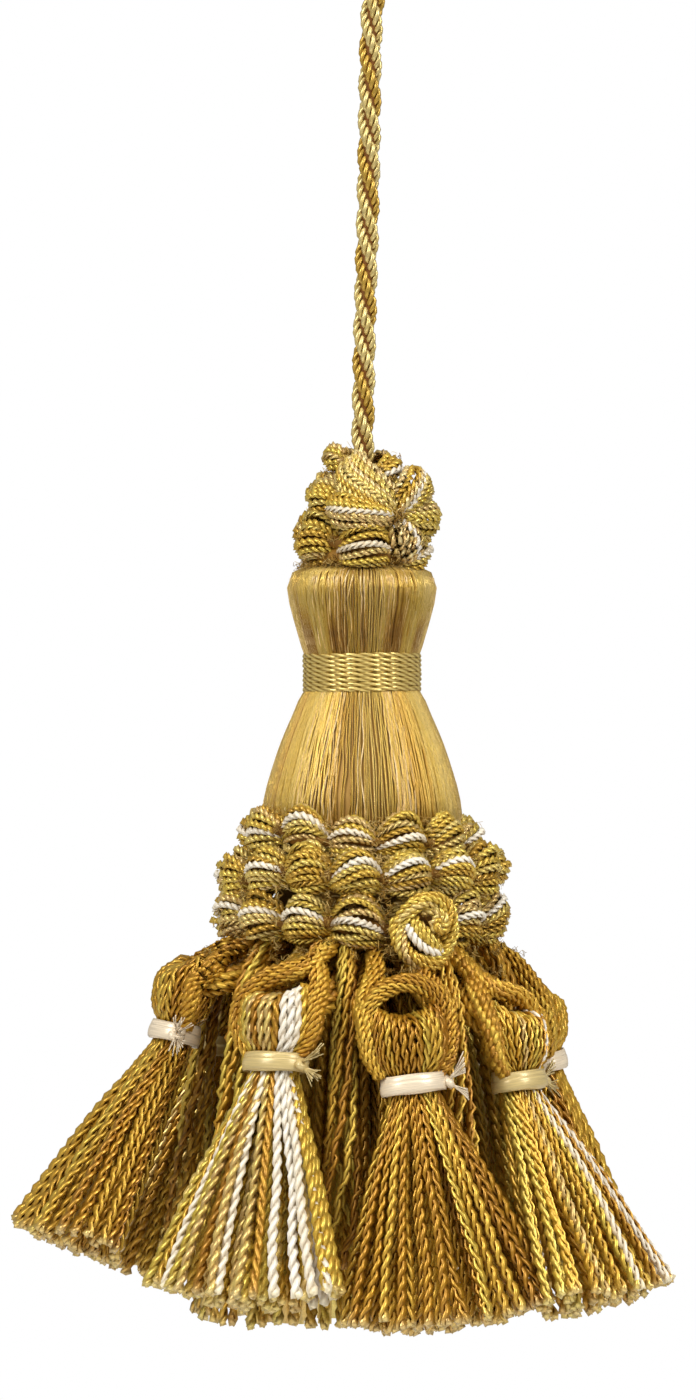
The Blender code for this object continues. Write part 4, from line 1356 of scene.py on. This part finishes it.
def folded_points(kick, hem_half_width):
    """Front and back of each folded yarn, joined over the loop."""
    angle = np.radians(np.linspace(-FOLDED_TO, FOLDED_TO, FOLDED_YARNS))
    x, y = np.sin(angle), -np.cos(angle)
    front = skirt_points(x, y, kick, hem_half_width)
    back = skirt_points(x, -y, kick, hem_half_width)
    top_x = HEAD_TOP[0] * x
    bar = LOOP_HALF_WIDTH - np.sqrt(LOOP_HALF_WIDTH**2 - top_x**2)
    levels = (  # half width and half depth, z
        (WAIST, HEAD_HEIGHTS[0]),
        (WAIST, HEAD_HEIGHTS[1]),
        (HEAD * HEAD_SHOULDER, HEAD_HEIGHTS[2]),
        (HEAD, HEAD_HEIGHTS[3]),
        (HEAD_TOP[1:], HEAD_HEIGHTS[4] + 0.75 * bar),
    )
    up, down = (
        [np.stack([wide * x, way * deep * y, z + 0 * x], axis=-1) for (wide, deep), z in levels]
        for way in (1, -1)
    )
    top = np.stack([top_x, 0 * x, LOOP_RADIUS + SKIRT_YARN + 0.2 + bar], axis=-1)
    return np.stack(front[::-1] + up + [top] + down[::-1] + back, axis=1)

# %% A small tassel
FILLING_YARNS = 24
TASSEL_TONES = {  # middle and spread of the yarns' tones in each tassel
    "1": (0.24, 0.16), "2": (0.62, 0.28), "3": (0.30, 0.16), "4": (0.42, 0.22),
    "5": (0.35, 0.25), "6": (0.55, 0.25), "7": (0.30, 0.20), "8": (0.60, 0.25),
}
WHITE_YARNS = {"2": (9, 10, 11), "4": (9, 11), "6": (2, 3), "8": (3, 4)}
WHITE_FILLING = {  # places across
    "2": (-0.7, -0.06, 0.93), "4": (-0.1, 0.4), "6": (0.2,), "7": (-0.4,),
}
WHITE_IN_FRONT = 1.12
WHITE_THINNER = 0.87
WHITE_FINISH = 1
GOLDEN_TURN = 2.4  # radians from one filling yarn to the next, which spreads them evenly
FILLING_REACH = 0.78  # how far out the filling goes, of the waist
WAIST_SQUEEZE = 0.32  # by how much of itself a yarn is thinner in the tie
SQUEEZE_REACH = 2.6
BACKWARD_FOLDED = 0.12  # shares of yarns that are twisted the other way
BACKWARD_FILLING = 0.2


def small_tassel(number, kick, hem_half_width):
    """The folded yarns and the filling of one tassel, in its own frame."""
    yarns = Yarns()
    middle, spread = TASSEL_TONES[number]
    route = twisted_routes(folded_points(kick, hem_half_width), SKIRT_PITCH, 4.5)
    waist = np.exp(-(((route[..., 2] - WAIST_Z) / SQUEEZE_REACH) ** 2))
    size = skirt_size(route) * (1 - WAIST_SQUEEZE * waist)
    size = size * chance.uniform(0.94, 1.05, (FOLDED_YARNS, 1))
    tone = np.clip(chance.normal(middle, spread, FOLDED_YARNS), 0, 1)
    pitch = pitches(SKIRT_PITCH, FOLDED_YARNS, BACKWARD_FOLDED)
    white = np.isin(np.arange(FOLDED_YARNS), WHITE_YARNS.get(number, ()))
    pitch[white] = SKIRT_PITCH
    yarns.add_mixed(route, size, pitch, tone, white, ACROSS, WHITE_FINISH, tips=(True, True))

    count = FILLING_YARNS
    turn = chance.uniform(0, 2 * np.pi) + np.arange(count) * GOLDEN_TURN
    deep = np.sqrt((np.arange(count) + 0.5) / count) * FILLING_REACH
    x, y = deep * np.sin(turn), deep * np.cos(turn)
    white = np.zeros(count, bool)
    for place in WHITE_FILLING.get(number, ()):
        nearest = np.argmin(np.abs(x - place) + 0.5 * (1 + y) + white)
        white[nearest] = True
        x[nearest] = place
        y[nearest] = -WHITE_IN_FRONT * math.sqrt(1 - place**2)
    held = np.stack([WAIST[0] * x, WAIST[1] * y, 0 * x], axis=-1)
    held = [0.8 * held + (WAIST_Z + 1.5) * UP, 0.95 * held + (WAIST_Z - 1.6) * UP]
    points = np.stack(held + skirt_points(x, y, kick, hem_half_width), axis=1)
    route = twisted_routes(points, SKIRT_PITCH, 4.2)
    tone = np.clip(chance.normal(middle - 0.05, spread, count), 0, 1)
    pitch = pitches(SKIRT_PITCH, count, BACKWARD_FILLING)
    size = skirt_size(route) * np.where(white, WHITE_THINNER, 1.0)[:, None]
    yarns.add_mixed(route, size, pitch, tone, white, ACROSS, WHITE_FINISH, tips=(False, True))
    return yarns

# %% [markdown]
# ## The ties
#
# A flat ribbon of satin floss goes twice round each waist and is knotted at one side.
# Its two ends are short and have come apart into fluff. Cream and straw take turns
# round the tassel.

# %% Ties
TIE_OVAL = (4.3, 3.3)
TIE_HALF_HEIGHT = 1.42
TIE_THICKNESS = 0.22  # of its half height
TIE_OUTER_NARROWER = 0.35
TIE_WRAPS = ((0.0, 0.0, 0.35), (0.24, 0.55, 2.4))  # further out, lower, where its slant starts
KNOT_RADIUS = 0.55
TAIL_LENGTH = 2.6
TAIL_STRANDS = 16
TAIL_STRAND = 0.1
TAIL_TWIST = 9.0

tie_finishes = [
    yarn_material(
        "tie floss " + name, ((0.0, colour), (1.0, colour)), shade, groove_shade_depth=0.0,
        streaks=0.7, streak_length=7.0, streaks_across=9.0, roughness=0.3, metallic=0.1,
        specular_tint=(1.0, 0.95, 0.85), relief=0.03,
    )
    for name, colour, shade in (
        ("cream", (0.72, 0.60, 0.43), TAN), ("straw", (0.54, 0.41, 0.17), DEEP_GOLD),
    )
]


def tie():
    yarns = Yarns()
    angle = np.linspace(0, 2 * np.pi, 61)
    for further, lower, start in TIE_WRAPS:
        x, y = (TIE_OVAL[0] + further) * np.cos(angle), (TIE_OVAL[1] + further) * np.sin(angle)
        z = WAIST_Z + 0.16 * np.sin(angle + start) - lower + 0.28
        height = TIE_HALF_HEIGHT * (1 - TIE_OUTER_NARROWER * (further > 0))
        height = height * (1 + 0.05 * np.sin(3 * angle + start))
        ring = np.stack([x, y, z], axis=-1)[None]
        yarns.add(ring, height, UP, 0.5, sides=10, flat=TIE_THICKNESS, phase=math.pi / 2)
    side = TIE_OVAL[0] + 0.5
    wound = np.linspace(0, 2 * np.pi * 1.3, 26)
    x, y = side + 0.35 * np.cos(wound), 0.75 * np.sin(wound) - 0.9
    knot = np.stack([x, y, WAIST_Z + 0.5 * np.sin(wound / 1.3)], axis=-1)
    yarns.add(knot[None], KNOT_RADIUS, UP, 0.5, sides=8)
    for way in (1, -1):
        fan = chance.normal(0, 1, (TAIL_STRANDS, 2))
        tails = []
        for share in (0.0, 0.35, 0.7, 1.0):
            x = side + TAIL_LENGTH * share * (1 + 0.06 * fan[:, 0])
            y = -1.0 + 0.55 * share * fan[:, 0] - 0.3 * share
            z = WAIST_Z + (0.2 + 1.5 * share) * way + 0.75 * share**1.5 * fan[:, 1]
            tails.append(np.stack([x, y, z], axis=-1))
        yarns.add(smooth_routes(np.stack(tails, axis=1), 8), TAIL_STRAND, UP, 0.5, TAIL_TWIST)
    return yarns

# %% Eight tassels on their loops
for i, (number, angle, radius, z, tilt, lean, kick, hem_half_width) in enumerate(TASSELS):
    angle, tilt, lean = np.radians((angle, tilt, lean)).tolist()
    radius -= TIE_DROP * math.sin(tilt)
    z += TIE_DROP * math.cos(tilt)
    after = TASSELS[(i + 1) % len(TASSELS)][1] + 360 * (i == len(TASSELS) - 1)
    turn, place = (-tilt, -lean, angle), around(angle, radius, z)
    loop = hanger_loop(number, angle, radius, z, (angle + math.radians(after)) / 2)
    finishes = [loop_yarn, fluff_fibre]
    loop.piece("loop_yarns_" + number, finishes, "gimp_yarn", ["hanger_loop_" + number])
    tassel = small_tassel(number, kick, hem_half_width).placed(turn, place)
    finishes = [skirt_yarn, white_yarn]
    tassel.piece("tassel_yarns_" + number, finishes, "skirt_yarn", ["small_tassel_" + number])
    finishes, slot = [tie_finishes[i % 2]], ("tie_cream", "tie_straw")[i % 2]
    tie().placed(turn, place).piece("tie_floss_" + number, finishes, slot, ["tie_" + number])

# %% [markdown]
# ## The inner skirt
#
# Behind the small tassels hangs a full skirt of straight yarns. It shows between them
# and below, so the yarns of its outer rounds are as real as the others. The innermost
# rounds show only from below and are plain tubes, and the yarns' bound middle is one
# solid form, so that no light comes through. Its dark tone is painted shade inside the skirt.

# %% Inner skirt
PLAIN_ROUNDS = 2  # the innermost
INNER_ROUNDS = (  # yarns, then (radius, z) down a yarn
    (58, ((8.0, -164.6), (9.2, -170.0), (17.6, -182.0), (23.4, -221.4))),
    (44, ((6.2, -164.6), (6.8, -170.0), (12.6, -181.0), (17.6, -222.0))),
    (28, ((4.3, -164.6), (4.6, -170.0), (7.6, -181.0), (11.6, -222.2))),
    (15, ((2.4, -164.6), (2.6, -170.0), (4.0, -181.0), (5.6, -222.2))),
)
INNER_YARN = 0.78
HEART = ((0, 0, -166.0), (0, 0, -172.0), (0, 0, -184.0), (0, 0, -202.0))
HEART_RADII = (1.4, 2.2, 3.2, 3.4)


def inner_skirt():
    yarns = Yarns()
    for i, (count, rows) in enumerate(INNER_ROUNDS):
        angles = 2 * np.pi * (np.arange(count) + chance.uniform(-0.3, 0.3, count)) / count
        radii, heights = np.array(rows).T
        stray = chance.normal(0, 1, (count, 1)) * (0.0, 0.1, 0.5, 1.0)
        drop = chance.normal(0, 1, (count, 1)) * (0.0, 0.0, 0.0, 0.4)
        points = around(angles[:, None] + 0.02 * stray, radii + 0.5 * stray, heights + drop)
        guide = sideways(angles)[:, None]
        tone = chance.uniform(0.1, 0.8, count)
        if i >= len(INNER_ROUNDS) - PLAIN_ROUNDS:
            route = smooth_routes(points, 10)
            yarns.add(route, INNER_YARN, guide, tone, sides=5, tips=(False, True))
            continue
        route = twisted_routes(points, SKIRT_PITCH, 4)
        pitch = SKIRT_PITCH * chance.choice([-1.0, 1.0], count)
        phase = chance.uniform(0, 6, count)
        yarns.add_plied(route, INNER_YARN, pitch, guide, tone, phase=phase, tips=(False, True))
    # The solid middle's dark tone is painted shade inside the skirt.
    yarns.add(np.array([HEART], float), HEART_RADII, BACK, 0.1, sides=10)
    return yarns


inner_skirt().piece("inner_yarns", [skirt_yarn], "skirt_yarn", ["inner_skirt"])

# %% [markdown]
# ## Loose fibres
#
# Silk yarn is never quite clean. Fine fibres stand out where it is pinched and bent,
# and soften every edge. They are thin bent tubes, joined into one piece.

# %% Loose fibres
HAIRS_AT_A_ROOT = 4
HAIR_RADIUS = 0.032

hair_material = yarn_material(
    "loose fibres", ((0.0, BROWN), (0.5, TAN), (1.0, PALE_STRAW)), TAN,
    roughness=0.6, metallic=0.0, specular=0.3,
)


def loose_fibres():
    roots, out = np.array(hair_roots).repeat(HAIRS_AT_A_ROOT, axis=0).transpose(1, 0, 2)
    count = len(roots)
    start = roots + chance.normal(0, 0.7, (count, 3)) - 0.5 * out
    way = unit(out + chance.normal(0, 1.2, (count, 3)))
    bend = chance.uniform(-1.2, 1.2, (count, 3)) - 0.7 * out
    length = chance.uniform(0.4, 1.0, count)[:, None]
    shares = (0, 0.35, 0.7, 1.0)
    points = np.stack([start + length * (s * way + s * s * bend) for s in shares], axis=1)
    yarns = Yarns()
    yarns.add(smooth_routes(points, 5), HAIR_RADIUS, ASKEW, chance.random(count))
    return yarns


loose_fibres().piece("loose_fibres", [hair_material], "gimp_yarn")
print("triangles in all:", sum(made_faces.values()), "largest piece:", max(made_faces.values()))

# %% [markdown]
# ## Light and backdrop
#
# Soft light comes from a large lamp on each side of the camera, so round things shine
# in two bands with a duller middle. The backdrop and floor are plain white.

# %% Lamps, world and floor
LAMP_TARGET = Vector((0, 0, -0.15))
LAMPS = (  # name, azimuth from the camera's side, distance, height, size, watts
    ("left softbox", -44, 0.95, 0.62, (0.36, 0.7), 10.5),
    ("right softbox", 50, 0.95, 0.58, (0.36, 0.7), 9.0),
    ("top fill", 5, 0.25, 1.2, (0.7, 0.7), 4.5),
)
AMBIENT = 0.3  # of the white that the camera sees
FLOOR_Z = -0.262
FLOOR_RADIUS = 0.24

for name, azimuth, distance, height, size, watts in LAMPS:
    turn = math.radians(azimuth)
    data = bpy.data.lights.new(name, "AREA")
    data.shape = "RECTANGLE"
    data.size, data.size_y = size
    data.energy = watts
    lamp = bpy.data.objects.new(name, data)
    away = Vector((distance * math.sin(turn), -distance * math.cos(turn), height))
    lamp.location = LAMP_TARGET + away
    lamp.rotation_euler = (LAMP_TARGET - lamp.location).to_track_quat("-Z", "Y").to_euler()
    bpy.context.collection.objects.link(lamp)
    print("lamp:", name, watts, "W")

world = bpy.data.worlds.new("white studio")
bpy.context.scene.world = world
world.use_nodes = True
sky = world.node_tree
seen = node(sky, "ShaderNodeLightPath").outputs["Is Camera Ray"]
strength = maths(sky, "MULTIPLY_ADD", seen, 1.0 - AMBIENT, AMBIENT)
feed(sky.nodes["Background"], {"Strength": strength, "Color": (1.0, 1.0, 1.0)})

bpy.ops.mesh.primitive_circle_add(
    vertices=64, radius=FLOOR_RADIUS, fill_type="NGON", location=(0, 0, FLOOR_Z)
)
floor = bpy.context.object
floor.name = "floor"
floor_paint = bpy.data.materials.new("white floor")
floor_paint.use_nodes = True
paint = {"Base Color": (0.92, 0.92, 0.92), "Roughness": 0.9}
feed(floor_paint.node_tree.nodes["Principled BSDF"], paint)
floor.data.materials.append(floor_paint)
bpy.context.scene.view_settings.view_transform = "Standard"
